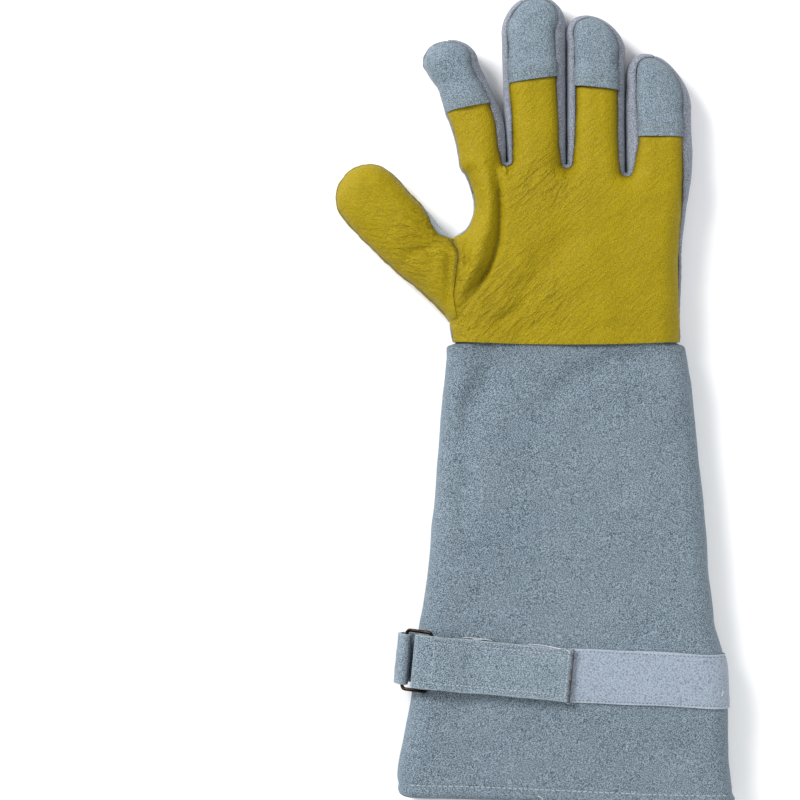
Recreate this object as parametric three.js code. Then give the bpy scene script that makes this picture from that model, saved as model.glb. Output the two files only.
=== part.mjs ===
// Rose pruning gauntlet for the left hand, lying palm up on a flat surface.
// Millimetres, +Z up, +Y towards the fingertips, thumb on the -X side.
// Every panel is a thin leather wall, cut along the real seams and sewn round an open hollow.

import * as THREE from 'three';

// Driving dimensions of the hand.
const handLength = 195;
const palmWidth = 129;
const restHeight = 10;
const fingerCrown = 13;
const palmCrown = 17.5;
const thumbCrown = 13.5;
const edgeRound = 14;
const fingerSlit = 1.4;
const sideInset = 4.6;
const tipInset = 2.2;
const patchLap = 7;
const seamSag = 1.5;

// Driving dimensions of the cuff.
const cuffLength = 260;
const hemWidth = 187;
const cuffEdgeRound = 13;
const cuffRestHeight = 12;
const cuffCrown = 14;
const cuffTuck = 6;
const hemFold = 12;
const hemRise = 6;

// Driving dimensions of the closure.
const closureDrop = 178;
const tapeWidth = 30;
const tapeWall = 1.2;
const strapWidth = 29.5;
const strapLength = 87;
const strapWall = 2.2;
const keeperWidth = 28;
const keeperWall = 2;
const keeperReach = 10.7;
const ringLength = 35;
const ringWire = 2;
const ringReach = 11.3;
const ringDrop = 7;
const ringCorner = 2.2;
const innerBarShift = 4.5;
const strapLoopReach = 5.9;

// Leather, and the clearances between sewn pieces.
const palmWall = 1.4;
const suedeWall = 1.8;
const cuffWall = 2;
const seamGap = 0.4;
const lapGap = 0.5;
const restGap = 0.3;
const strapEase = 1.3;
const loopEase = 0.15;

// Fingers, as shares of palmWidth across and of handLength above the cuff seam.
const fingers = [
  {
    name: 'index', apexX: -0.517, apexY: 0.873, leftX: -0.629, leftY: 0.798,
    rightX: -0.384, rightY: 0.807, patchLeft: 0.66, patchRight: 0.697,
  },
  {
    name: 'middle', apexX: -0.13, apexY: 1, leftX: -0.282, leftY: 0.896,
    rightX: -0.004, rightY: 0.896, patchLeft: 0.744, patchRight: 0.764,
  },
  {
    name: 'ring', apexX: 0.097, apexY: 0.943, leftX: 0.002, leftY: 0.862,
    rightX: 0.257, rightY: 0.848, patchLeft: 0.737, patchRight: 0.724,
  },
  {
    name: 'little', apexX: 0.381, apexY: 0.829, leftX: 0.264, leftY: 0.738,
    rightX: 0.546, rightY: 0.681, patchLeft: 0.59, patchRight: 0.59,
  },
];

// Clefts between two fingers: where the fingers part, and the foot of the slit.
const clefts = [
  { headX: -0.271, headY: 0.638, footX: -0.26, footY: 0.52 },
  { headX: -0.001, headY: 0.75, footX: 0, footY: 0.514 },
  { headX: 0.256, headY: 0.7, footX: 0.258, footY: 0.491 },
];

const thumb = { apexX: -0.964, apexY: 0.487, leftX: -0.959, leftY: 0.346, rightX: -0.751, rightY: 0.484 };

// Stations along the outer edges of the hand, same shares as the fingers.
const wristLeft = [{ x: -0.501, y: 0 }, { x: -0.506, y: 0.03 }, { x: -0.512, y: 0.058 }];
const thumbLow = [
  { x: -0.512, y: 0.058 },
  { x: -0.555, y: 0.092 },
  { x: -0.648, y: 0.15 },
  { x: -0.767, y: 0.217 },
  { x: -0.896, y: 0.299 },
  { x: -0.959, y: 0.346 },
];
const thumbHigh = [
  { x: -0.751, y: 0.484 },
  { x: -0.674, y: 0.428 },
  { x: -0.586, y: 0.364 },
  { x: -0.538, y: 0.322 },
  { x: -0.495, y: 0.304 },
];
const indexOuter = [
  { x: -0.495, y: 0.304 },
  { x: -0.44, y: 0.329 },
  { x: -0.409, y: 0.376 },
  { x: -0.413, y: 0.425 },
  { x: -0.44, y: 0.478 },
  { x: -0.464, y: 0.5 },
  { x: -0.478, y: 0.551 },
  { x: -0.499, y: 0.61 },
  { x: -0.53, y: 0.666 },
  { x: -0.557, y: 0.724 },
  { x: -0.596, y: 0.759 },
  { x: -0.629, y: 0.798 },
];
const littleOuter = [
  { x: 0.546, y: 0.681 },
  { x: 0.548, y: 0.57 },
  { x: 0.546, y: 0.465 },
  { x: 0.522, y: 0.37 },
  { x: 0.508, y: 0.3 },
  { x: 0.5, y: 0.172 },
  { x: 0.499, y: 0 },
];
const thumbSeam = [{ x: -0.476, y: 0.258 }, { x: -0.483, y: 0.201 }, { x: -0.495, y: 0.121 }];

// Width of the grey side that shows beside the palm, as shares of sideInset, by height.
const ulnarInset = [
  { y: 0, share: 0.12 },
  { y: 0.2, share: 0.15 },
  { y: 0.36, share: 0.5 },
  { y: 0.45, share: 1.2 },
  { y: 0.6, share: 1.35 },
  { y: 0.68, share: 1.3 },
];

// Height of the crown along the hand, as shares of fingerCrown (0) to palmCrown (1).
const crownLine = [
  { y: -0.1, share: 0.75 },
  { y: 0.05, share: 0.85 },
  { y: 0.25, share: 1 },
  { y: 0.42, share: 0.85 },
  { y: 0.58, share: 0.2 },
  { y: 0.75, share: 0 },
  { y: 1, share: -0.15 },
];

// Folds pressed into the palm: a bent line, its width and depth as shares of edgeRound.
const palmFolds = [
  { x0: -0.3, y0: 0.46, x1: -0.28, y1: 0.25, x2: -0.47, y2: 0.05, width: 0.26, depth: 0.3 },
  { x0: 0.1, y0: 0.34, x1: -0.12, y1: 0.22, x2: -0.31, y2: 0.03, width: 0.5, depth: 0.1 },
  { x0: -0.43, y0: 0.32, x1: -0.44, y1: 0.28, x2: -0.44, y2: 0.245, width: 0.16, depth: 0.1 },
];

// Cuff sections: share of cuffLength, and how far each edge has flared from wrist (0) to hem (1).
const cuffSections = [
  { t: 0.022, left: 0.1, right: 0.1, crown: 0.92 },
  { t: 0.08, left: 0.13, right: 0.2, crown: 1 },
  { t: 0.2, left: 0.21, right: 0.33, crown: 0.96 },
  { t: 0.35, left: 0.34, right: 0.46, crown: 0.92 },
  { t: 0.5, left: 0.45, right: 0.57, crown: 0.92 },
  { t: 0.61, left: 0.565, right: 0.68, crown: 0.94 },
  { t: 0.64, left: 0.595, right: 0.76, crown: 0.945 },
  { t: 0.67, left: 0.627, right: 0.85, crown: 0.955 },
  { t: 0.7, left: 0.662, right: 0.905, crown: 0.965 },
  { t: 0.74, left: 0.71, right: 0.935, crown: 0.98 },
  { t: 0.8, left: 0.78, right: 0.96, crown: 1 },
  { t: 0.9, left: 0.92, right: 0.99, crown: 1.06 },
  { t: 0.958, left: 1, right: 1.04, crown: 1.1 },
  { t: 1, left: 0.96, right: 1.12, crown: 1.1 },
];
const leftFlareShare = 0.53;

// Dents in the front of the cuff, shares of palmWidth and of cuffLength, depth of cuffCrown.
const cuffDents = [
  { x0: -0.38, y0: 0, x1: -0.36, y1: 0.1, x2: -0.48, y2: 0.26, width: 0.07, depth: 0.12 },
  { x0: 0.1, y0: 0.3, x1: 0.2, y1: 0.45, x2: 0.3, y2: 0.55, width: 0.25, depth: 0.06 },
];

// Slope of the strap and the tape across the cuff, and where the tape starts on its flat front.
const strapSlope = 0.094;
const tapeSlope = 0.045;
const tapeStart = 0.03;
const strapFlatStart = 0.13;

// The strap's end from under the inner bar round and over it: reach and height from the bar.
const strapLoop = [
  { out: 0.42, up: -0.62 },
  { out: 0, up: -1 },
  { out: -0.5, up: -1.02 },
  { out: -0.88, up: -0.68 },
  { out: -1, up: 0 },
  { out: -0.88, up: 0.68 },
  { out: -0.5, up: 1.02 },
  { out: 0, up: 1.06 },
  { out: 0.6, up: 1 },
];

// The keeper's way from under the cuff's edge up to the outer bar, and back down inside:
// distance out from the edge as a share of keeperReach, height as a share of the bar's.
const keeperLine = [
  { out: -0.25, up: 0.14 },
  { out: 0.17, up: 0.18 },
  { out: 0.52, up: 0.25 },
  { out: 0.86, up: 0.43 },
  { out: 1, up: 0.65 },
  { out: 0.98, up: 0.85 },
];
const keeperReturn = [
  { out: 0.46, up: 0.87 },
  { out: 0.6, up: 0.75 },
  { out: 0.71, up: 0.6 },
];

// Where the thumb's crown rises into the palm's, and where the index finger takes over from it:
// shares of palmWidth across and of handLength along.
const crownBlend = { thumbX: -0.66, thumbSpan: 0.24, indexY: 0.5, indexSpan: 0.05 };

// The spread of the gusset at each sample along the web of the thumb, from its low end.
const gussetShares = [0.15, 0.7, 1, 0.8, 0.4, 0.15];

// The turns at which the keeper bends over the ring's outer bar, in degrees.
const keeperTurns = [165, 135, 105, 75, 45, 15, -15];

// Share of the cuff, up from the hem, over which its thumb-side corner rises.
const hemRiseShare = 0.25;

// Steps of the faceted walls.
const fingerColumns = 6;
const fingerRows = 3;
const upperRows = 2;
const capSteps = 4;
const cleftSteps = 4;
const seamColumns = 6;
const thumbRows = 6;
const indexRows = 5;
const wristRows = 2;
const rimSteps = 2;
const wrapSteps = 4;
const acrossSteps = 9;
const cuffArcSteps = 8;
const bandSteps = 3;
const tapeSteps = 6;
const strapSteps = 8;
const ringCornerSteps = 3;
const ringSides = 8;
const foldSteps = 12;
const fineSteps = 400;

// Sharpness of a fold's ends, the step that a slope is read over, and the grid of shared corners.
const foldTaper = 4;
const slopeStep = edgeRound / 28;
const weldStep = edgeRound / 28000;

const degree = Math.PI / 180;
const edgeSeam = 12 * degree;
const gussetSpread = 16 * degree;
const seamTurn = seamGap / 2 / edgeRound;

const lerp = THREE.MathUtils.lerp;

function smooth(share) {
  const s = THREE.MathUtils.clamp(share, 0, 1);
  return s * s * (3 - 2 * s);
}

// Reads a table of rows by its first column, joining the rows with straight steps.
function readTable(rows, key, column, value) {
  let lower = rows[0];
  for (const upper of rows) {
    if (value <= upper[key]) {
      const span = upper[key] - lower[key];
      const share = span > 0 ? (value - lower[key]) / span : 0;
      return lerp(lower[column], upper[column], THREE.MathUtils.clamp(share, 0, 1));
    }
    lower = upper;
  }
  return lower[column];
}

function onHand(x, y) {
  return new THREE.Vector2(x * palmWidth, y * handLength);
}

function curveThrough(stations) {
  const points = stations.map((s) => new THREE.Vector3(s.x * palmWidth, s.y * handLength, 0));
  return new THREE.CatmullRomCurve3(points, false, 'centripetal');
}

function flat(point) {
  return new THREE.Vector2(point.x, point.y);
}

// Points along a curve, ends included, evenly spaced.
function pace(curve, steps) {
  return curve.getSpacedPoints(steps).map(flat);
}

// The part of a curve between two heights, which it passes once.
function paceBetween(curve, fromY, toY, steps) {
  const fine = curve.getSpacedPoints(fineSteps).map(flat);
  const rising = fine[fine.length - 1].y > fine[0].y;
  const nearest = (y) => {
    let best = 0;
    for (let i = 1; i < fine.length; i += 1) {
      const passed = rising ? fine[i].y <= y : fine[i].y >= y;
      if (passed) {
        best = i;
      }
    }
    return best;
  };
  const first = nearest(fromY);
  const last = nearest(toY);
  const points = [];
  for (let k = 0; k <= steps; k += 1) {
    points.push(fine[Math.round(lerp(first, last, k / steps))].clone());
  }
  return points;
}

// Half of a rounded fingertip, from a shoulder to the apex or from the apex to a shoulder.
function capPoints(finger, fromTurn) {
  const left = onHand(finger.leftX, finger.leftY);
  const right = onHand(finger.rightX, finger.rightY);
  const apex = onHand(finger.apexX, finger.apexY);
  const centre = left.clone().add(right).multiplyScalar(0.5);
  const points = [];
  for (let k = 0; k <= capSteps; k += 1) {
    const turn = (fromTurn + (90 * k) / capSteps) * degree;
    const across = right.clone().sub(left).multiplyScalar(-0.5 * Math.cos(turn));
    const along = apex.clone().sub(centre).multiplyScalar(Math.sin(turn));
    points.push(centre.clone().add(across).add(along));
  }
  return points;
}

// One side of a finger beside a cleft, from its shoulder down to the foot of the slit.
function innerSide(finger, side, cleft) {
  const half = (side === 'right' ? -0.5 : 0.5) * fingerSlit;
  const shoulder = onHand(finger[`${side}X`], finger[`${side}Y`]);
  const head = onHand(cleft.headX, cleft.headY);
  const foot = onHand(cleft.footX, cleft.footY);
  const points = [
    new THREE.Vector3(shoulder.x, shoulder.y, 0),
    new THREE.Vector3(head.x + half, head.y, 0),
    new THREE.Vector3(foot.x + half, foot.y + fingerSlit / 2, 0),
  ];
  return new THREE.CatmullRomCurve3(points, false, 'centripetal');
}

// The samples of a finger's side, listed upwards from the base of the finger.
function sideLevels(curve, baseY, patchY, shoulderY) {
  const lapY = patchY + patchLap;
  const low = paceBetween(curve, baseY, patchY, fingerRows);
  const lap = paceBetween(curve, patchY, lapY, 1);
  const high = paceBetween(curve, lapY, shoulderY, upperRows);
  return [...low, ...lap.slice(1), ...high.slice(1)];
}

function cleftArc(cleft) {
  const foot = onHand(cleft.footX, cleft.footY);
  const radius = fingerSlit / 2;
  const points = [];
  for (let k = 0; k <= cleftSteps; k += 1) {
    const turn = Math.PI * (1 + k / cleftSteps);
    const along = radius * (1 + Math.sin(turn));
    points.push(new THREE.Vector2(foot.x + radius * Math.cos(turn), foot.y + along));
  }
  return points;
}

// The outline of the hand, from the wrist round the thumb and the fingers to the wrist again.
// Each stretch lists its samples in that order; neighbours share their end samples.
const stretches = {};
const outline = [];

function addStretch(name, points, insets) {
  const samples = points.map((point, k) => {
    const last = outline[outline.length - 1];
    if (k === 0 && last !== undefined) {
      return last;
    }
    const sample = { p: point, inset: insets(k / (points.length - 1), point) };
    outline.push(sample);
    return sample;
  });
  stretches[name] = samples;
}

const evenInset = () => sideInset;
const capInset = (share) => lerp(sideInset, tipInset, smooth(share));
const capInsetBack = (share) => lerp(tipInset, sideInset, smooth(share));
const ulnarRead = (share, point) => sideInset * readTable(ulnarInset, 'y', 'share', point.y / handLength);
const lastFinger = fingers.length - 1;
const littleShoulder = onHand(0, fingers[lastFinger].rightY);
const littleCapInset = (share) => lerp(tipInset, ulnarRead(0, littleShoulder), smooth(share));

function drawOutline() {
  addStretch('wrist', pace(curveThrough(wristLeft), wristRows), evenInset);
  addStretch('thumbLow', pace(curveThrough(thumbLow), thumbRows), evenInset);
  addStretch('thumbCapLeft', capPoints(thumb, 0), capInset);
  addStretch('thumbCapRight', capPoints(thumb, 90), capInsetBack);
  addStretch('thumbHigh', pace(curveThrough(thumbHigh), thumbRows), evenInset);
  const outer = curveThrough(indexOuter);
  const baseY = clefts[0].footY * handLength + fingerSlit / 2;
  addStretch('indexSide', paceBetween(outer, indexOuter[0].y * handLength, baseY, indexRows), evenInset);
  fingers.forEach((finger, i) => {
    const leftCurve = i === 0 ? outer : innerSide(finger, 'left', clefts[i - 1]);
    const outermost = i === lastFinger;
    const rightCurve = outermost ? curveThrough(littleOuter) : innerSide(finger, 'right', clefts[i]);
    const leftBase = clefts[Math.max(i - 1, 0)].footY * handLength + fingerSlit / 2;
    const rightBase = clefts[Math.min(i, clefts.length - 1)].footY * handLength + fingerSlit / 2;
    const heights = (side) => [finger[`patch${side}`], finger[`${side.toLowerCase()}Y`]];
    const [leftPatch, leftTop] = heights('Left').map((y) => y * handLength);
    const [rightPatch, rightTop] = heights('Right').map((y) => y * handLength);
    const rightInset = outermost ? ulnarRead : evenInset;
    addStretch(`${finger.name}Left`, sideLevels(leftCurve, leftBase, leftPatch, leftTop), evenInset);
    addStretch(`${finger.name}CapLeft`, capPoints(finger, 0), capInset);
    addStretch(`${finger.name}CapRight`, capPoints(finger, 90), outermost ? littleCapInset : capInsetBack);
    const down = sideLevels(rightCurve, rightBase, rightPatch, rightTop).reverse();
    addStretch(`${finger.name}Right`, down, rightInset);
    if (!outermost) {
      addStretch(`cleft${i}`, cleftArc(clefts[i]), evenInset);
    }
  });
  const ulnarRows = wristRows + seamColumns + indexRows;
  const ulnarBase = clefts[clefts.length - 1].footY * handLength + fingerSlit / 2;
  addStretch('ulnar', paceBetween(curveThrough(littleOuter), ulnarBase, 0, ulnarRows), ulnarRead);
  outline.forEach((sample, k) => {
    const before = outline[Math.max(k - 1, 0)].p;
    const after = outline[Math.min(k + 1, outline.length - 1)].p;
    const along = after.clone().sub(before).normalize();
    sample.n = new THREE.Vector2(along.y, -along.x);
  });
  outline[0].n.set(1, 0);
  outline[outline.length - 1].n.set(-1, 0);
}

// Distance from a point of the plan to the outline, which runs on down both sides of the wrist.
function edgeDistance(x, y) {
  let best = Infinity;
  for (let k = 1; k < outline.length; k += 1) {
    const a = outline[k - 1].p;
    const b = outline[k].p;
    const dx = b.x - a.x;
    const dy = b.y - a.y;
    const length2 = dx * dx + dy * dy;
    const share = THREE.MathUtils.clamp(((x - a.x) * dx + (y - a.y) * dy) / length2, 0, 1);
    best = Math.min(best, Math.hypot(x - a.x - share * dx, y - a.y - share * dy));
  }
  if (y < 0) {
    best = Math.min(x - outline[0].p.x, outline[outline.length - 1].p.x - x);
  }
  return Math.max(best, 0);
}

function domeShare(distance, round) {
  const t = Math.min(distance / round, 1);
  return Math.sqrt(1 - (1 - t) * (1 - t));
}

// How deep a table's folds press at a point; lengths follow the two scales.
function foldDepth(folds, x, y, scaleX, scaleY, widthScale, depthScale) {
  let depth = 0;
  for (const fold of folds) {
    let best = Infinity;
    const width = fold.width * widthScale;
    for (let k = 0; k <= foldSteps; k += 1) {
      const s = k / foldSteps;
      const px = (1 - s) * (1 - s) * fold.x0 + 2 * s * (1 - s) * fold.x1 + s * s * fold.x2;
      const py = (1 - s) * (1 - s) * fold.y0 + 2 * s * (1 - s) * fold.y1 + s * s * fold.y2;
      const taper = 1 + foldTaper * Math.abs(s - 0.5) ** 3;
      best = Math.min(best, Math.hypot(x - px * scaleX, y - py * scaleY) * taper);
    }
    depth += fold.depth * depthScale * Math.exp(-((best / width) ** 2));
  }
  return depth;
}

// Height of the crown above the widest line of the hand.
function crownAt(x, y) {
  const share = readTable(crownLine, 'y', 'share', y / handLength);
  const hand = lerp(fingerCrown, palmCrown, share);
  const intoHand = smooth((x / palmWidth - crownBlend.thumbX) / crownBlend.thumbSpan);
  const belowIndex = 1 - smooth((y / handLength - crownBlend.indexY) / crownBlend.indexSpan);
  return lerp(hand, lerp(thumbCrown, hand, intoHand), belowIndex);
}

function surfaceHeight(x, y, side) {
  const dome = domeShare(edgeDistance(x, y), edgeRound);
  if (side < 0) {
    return restHeight * (1 - dome);
  }
  const press = foldDepth(palmFolds, x, y, palmWidth, handLength, edgeRound, edgeRound);
  return restHeight + (crownAt(x, y) - press) * dome;
}

// A point of a sheet: its place on the outer face and the way out of the leather there.
function lifted(x, y, side) {
  const across = surfaceHeight(x + slopeStep, y, side) - surfaceHeight(x - slopeStep, y, side);
  const along = surfaceHeight(x, y + slopeStep, side) - surfaceHeight(x, y - slopeStep, side);
  const slopeX = across / (2 * slopeStep);
  const slopeY = along / (2 * slopeStep);
  const out = new THREE.Vector3(-slopeX, -slopeY, 1).multiplyScalar(side).normalize();
  return { p: new THREE.Vector3(x, y, surfaceHeight(x, y, side)), n: out };
}

// A point of the rounded rim of the hand, at a turn above (+) or below (-) its widest line.
function onRim(sample, turn) {
  const inward = edgeRound * (1 - Math.cos(turn));
  const x = sample.p.x + sample.n.x * inward;
  const y = sample.p.y + sample.n.y * inward;
  const press = foldDepth(palmFolds, x, y, palmWidth, handLength, edgeRound, edgeRound);
  const rise = turn > 0 ? crownAt(x, y) - press : restHeight;
  const out = new THREE.Vector3(
    -sample.n.x * rise * Math.cos(turn),
    -sample.n.y * rise * Math.cos(turn),
    edgeRound * Math.sin(turn),
  );
  return { p: new THREE.Vector3(x, y, restHeight + rise * Math.sin(turn)), n: out.normalize() };
}

function insetTurn(sample) {
  return Math.acos(1 - sample.inset / edgeRound);
}

// The edge of a panel's field beside an outline sample.
function fieldEdge(sample, side) {
  return onRim(sample, side * (insetTurn(sample) + seamTurn));
}

// Moves an end sample back along its stretch, so that two pieces that meet there keep their gap.
function eased(samples, end) {
  const copy = [...samples];
  const at = end === 'first' ? 0 : copy.length - 1;
  const next = copy[end === 'first' ? 1 : copy.length - 2];
  const share = seamGap / 2 / copy[at].p.distanceTo(next.p);
  copy[at] = { ...copy[at], p: copy[at].p.clone().lerp(next.p, share) };
  return copy;
}

// A grid between four edges, bottom to top; its inner points are lifted onto the hand.
function patchGrid(bottom, top, left, right, side) {
  const columns = bottom.length - 1;
  const rows = left.length - 1;
  const grid = [];
  for (let r = 0; r <= rows; r += 1) {
    const v = r / rows;
    const row = [];
    for (let c = 0; c <= columns; c += 1) {
      const u = c / columns;
      if (r === 0) {
        row.push(bottom[c]);
      } else if (r === rows) {
        row.push(top[c]);
      } else if (c === 0) {
        row.push(left[r]);
      } else if (c === columns) {
        row.push(right[r]);
      } else {
        const blend = (key) => (1 - v) * bottom[c].p[key] + v * top[c].p[key]
          + (1 - u) * left[r].p[key] + u * right[r].p[key]
          - (1 - u) * (1 - v) * bottom[0].p[key] - u * (1 - v) * bottom[columns].p[key]
          - (1 - u) * v * top[0].p[key] - u * v * top[columns].p[key];
        row.push(lifted(blend('x'), blend('y'), side));
      }
    }
    grid.push(row);
  }
  return grid;
}

// A straight row of points between two edge points.
function crossRow(left, right, columns, side) {
  const row = [left];
  for (let c = 1; c < columns; c += 1) {
    const share = c / columns;
    row.push(lifted(lerp(left.p.x, right.p.x, share), lerp(left.p.y, right.p.y, share), side));
  }
  row.push(right);
  return row;
}

// The rounded end of a finger or thumb, as rows that shorten to its apex.
function capGrid(leftSamples, rightSamples, firstRow, columns, side) {
  const grid = [firstRow];
  const right = [...rightSamples].reverse();
  for (let r = 1; r < leftSamples.length - 1; r += 1) {
    grid.push(crossRow(fieldEdge(leftSamples[r], side), fieldEdge(right[r], side), columns, side));
  }
  const apex = fieldEdge(leftSamples[leftSamples.length - 1], side);
  grid.push(new Array(columns + 1).fill(apex));
  return grid;
}

// A band of the rim along some samples, between two turns given for each sample.
function rimGrid(samples, fromTurn, toTurn, steps) {
  const grid = [];
  for (let r = 0; r <= steps; r += 1) {
    grid.push(samples.map((sample) => onRim(sample, lerp(fromTurn(sample), toTurn(sample), r / steps))));
  }
  return grid;
}

// Gives a sheet its leather: an outer face, an inner face one wall deeper, and edges between.
function leather(grids, wallOf, raise = 0) {
  const places = [];
  const index = new Map();
  const faces = [];
  const keyOf = (v) => [v.p.x, v.p.y, v.p.z].map((c) => Math.round(c / weldStep)).join(' ');
  const numberOf = (v) => {
    const key = keyOf(v);
    if (!index.has(key)) {
      index.set(key, places.length);
      places.push({ p: v.p, n: v.n, wall: v.wall });
    }
    return index.get(key);
  };
  const addFace = (a, b, c) => {
    if (a !== b && b !== c && c !== a) {
      faces.push([a, b, c]);
    }
  };
  for (const grid of grids) {
    const flip = grid.flip === true;
    for (let r = 1; r < grid.length; r += 1) {
      for (let c = 1; c < grid[r].length; c += 1) {
        const corners = [grid[r - 1][c - 1], grid[r - 1][c], grid[r][c], grid[r][c - 1]].map(numberOf);
        const [a, b, d, e] = flip ? corners.reverse() : corners;
        addFace(a, b, d);
        addFace(a, d, e);
      }
    }
  }
  if (places.some((place) => place.n === undefined)) {
    setFaceNormals(places, faces);
  }
  const positions = [];
  for (const place of places) {
    const outer = place.p.clone().addScaledVector(place.n, raise);
    positions.push(outer.x, outer.y, outer.z);
  }
  for (const place of places) {
    const inner = place.p.clone().addScaledVector(place.n, raise - (place.wall ?? wallOf));
    positions.push(inner.x, inner.y, inner.z);
  }
  return closeWall(positions, faces, places.length);
}

function setFaceNormals(places, faces) {
  places.forEach((place) => {
    place.n = new THREE.Vector3();
  });
  for (const [a, b, c] of faces) {
    const ab = places[b].p.clone().sub(places[a].p);
    const ac = places[c].p.clone().sub(places[a].p);
    const normal = ab.cross(ac);
    [a, b, c].forEach((k) => places[k].n.add(normal));
  }
  places.forEach((place) => place.n.normalize());
}

function closeWall(positions, faces, count) {
  const triangles = [];
  const edges = new Set();
  for (const [a, b, c] of faces) {
    triangles.push(a, b, c);
    triangles.push(a + count, c + count, b + count);
    [[a, b], [b, c], [c, a]].forEach(([from, to]) => edges.add(`${from} ${to}`));
  }
  for (const edge of edges) {
    const [from, to] = edge.split(' ').map(Number);
    if (!edges.has(`${to} ${from}`)) {
      triangles.push(from, from + count, to);
      triangles.push(to, from + count, to + count);
    }
  }
  const geometry = new THREE.BufferGeometry();
  geometry.setAttribute('position', new THREE.Float32BufferAttribute(positions, 3));
  geometry.setIndex(triangles);
  geometry.computeVertexNormals();
  return geometry;
}

const yellow = new THREE.MeshStandardMaterial({ color: 0xb39a0e, roughness: 0.5, metalness: 0 });
const suede = new THREE.MeshStandardMaterial({ color: 0x8a99a3, roughness: 0.95, metalness: 0 });
const pile = new THREE.MeshStandardMaterial({ color: 0xa5adbc, roughness: 1, metalness: 0 });
const bronze = new THREE.MeshStandardMaterial({ color: 0x463c32, roughness: 0.35, metalness: 1 });

const glove = new THREE.Group();

function addPiece(name, geometry, material) {
  const mesh = new THREE.Mesh(geometry, material.clone());
  mesh.name = name;
  glove.add(mesh);
}

drawOutline();

const patchRow = fingerRows;
const lapRow = fingerRows + 1;
const shoulderRow = fingerRows + 1 + upperRows;

// The samples of a finger's two sides, upwards.
function fingerSides(finger) {
  return { left: stretches[`${finger.name}Left`], right: [...stretches[`${finger.name}Right`]].reverse() };
}

// The row of points across the base of each finger, made once for each face and shared.
const baseRows = new Map();

function baseRow(finger, side) {
  const key = `${finger.name}${side}`;
  if (!baseRows.has(key)) {
    const { left, right } = fingerSides(finger);
    const ends = [fieldEdge(left[0], side), fieldEdge(right[0], side)];
    baseRows.set(key, crossRow(ends[0], ends[1], fingerColumns, side));
  }
  return baseRows.get(key);
}

// A finger's field from its base up to a level, row by row.
function fingerField(finger, side, fromLevel, toLevel) {
  const { left, right } = fingerSides(finger);
  const grid = [];
  for (let level = fromLevel; level <= toLevel; level += 1) {
    if (level === 0) {
      grid.push(baseRow(finger, side));
    } else {
      const ends = [fieldEdge(left[level], side), fieldEdge(right[level], side)];
      grid.push(crossRow(ends[0], ends[1], fingerColumns, side));
    }
  }
  return grid;
}

// The thumb seam as points of a face, shifted to one side of the seam.
function seamLine(head, foot, shift, side) {
  const inner = thumbSeam.map((s) => new THREE.Vector3(s.x * palmWidth + shift, s.y * handLength, 0));
  const ends = [head, foot].map((v) => new THREE.Vector3(v.p.x, v.p.y, 0));
  const curve = new THREE.CatmullRomCurve3([ends[0], ...inner, ends[1]], false, 'centripetal');
  const points = curve.getSpacedPoints(seamColumns);
  const line = points.map((point) => lifted(point.x, point.y, side));
  line[0] = head;
  line[seamColumns] = foot;
  return line;
}

// The palm's field below the fingers, from the cuff seam up to the bases and clefts.
function trunkField(side) {
  const indexSide = eased(stretches.indexSide, 'first');
  const wrist = eased(stretches.wrist, 'last');
  const head = fieldEdge(indexSide[0], side);
  const foot = fieldEdge(wrist[wristRows], side);
  const seam = seamLine(head, foot, seamGap / 2, side).reverse();
  const left = [
    ...wrist.map((sample) => fieldEdge(sample, side)).slice(0, -1),
    ...seam,
    ...indexSide.slice(1, -1).map((sample) => fieldEdge(sample, side)),
    baseRow(fingers[0], side)[0],
  ];
  const right = [...stretches.ulnar].reverse().map((sample) => fieldEdge(sample, side));
  right[right.length - 1] = baseRow(fingers[lastFinger], side)[fingerColumns];
  const top = [];
  fingers.forEach((finger, i) => {
    top.push(...baseRow(finger, side));
    if (i < lastFinger) {
      top.push(...stretches[`cleft${i}`].slice(1, -1).map((sample) => fieldEdge(sample, side)));
    }
  });
  const last = top.length - 1;
  const bottom = top.map((_, c) => {
    const x = lerp(left[0].p.x, right[0].p.x, c / last);
    const y = -seamSag * Math.sin((Math.PI * c) / last);
    return lifted(x, y, side);
  });
  bottom[0] = left[0];
  bottom[last] = right[0];
  return patchGrid(bottom, top, left, right, side);
}

const fromField = (side) => (sample) => side * (insetTurn(sample) + seamTurn);

// The gusset opens at the web of the thumb: its spread for each sample along the web.
const webReach = gussetShares.length / 2;
const gussetSamples = [
  ...stretches.thumbHigh.slice(-webReach),
  ...stretches.indexSide.slice(1, webReach + 1),
];
const gussetClear = 3 * seamTurn;

function gussetShare(sample) {
  const at = gussetSamples.findIndex((other) => other.p.distanceTo(sample.p) < seamGap);
  return at < 0 ? 0 : gussetShares[at];
}

// Turns where the outer seam's upper and lower piece end.
const upperSeam = (sample) => edgeSeam + gussetSpread * gussetShare(sample) + seamTurn;
const lowerSeam = (sample) => edgeSeam - 2 * gussetSpread * gussetShare(sample) - seamTurn;

// The rounded rim of a panel, from its field out to the seam on the outline.
function panelRim(samples, side) {
  const grid = rimGrid(samples, fromField(side), side > 0 ? upperSeam : lowerSeam, rimSteps);
  grid.flip = side < 0;
  return grid;
}

// Marks which way a sheet faces: a negative side turns its faces over.
function faced(grid, side) {
  grid.flip = side < 0;
  return grid;
}

function makePalm() {
  const grids = [trunkField(1)];
  fingers.forEach((finger) => grids.push(fingerField(finger, 1, 0, lapRow)));
  grids.push(panelRim(eased(stretches.wrist, 'last'), 1));
  grids.push(panelRim(eased(stretches.indexSide, 'first'), 1));
  grids.push(panelRim(stretches.indexLeft.slice(0, lapRow + 1), 1));
  addPiece('palm_panel', leather(grids, palmWall), yellow);
}

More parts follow.
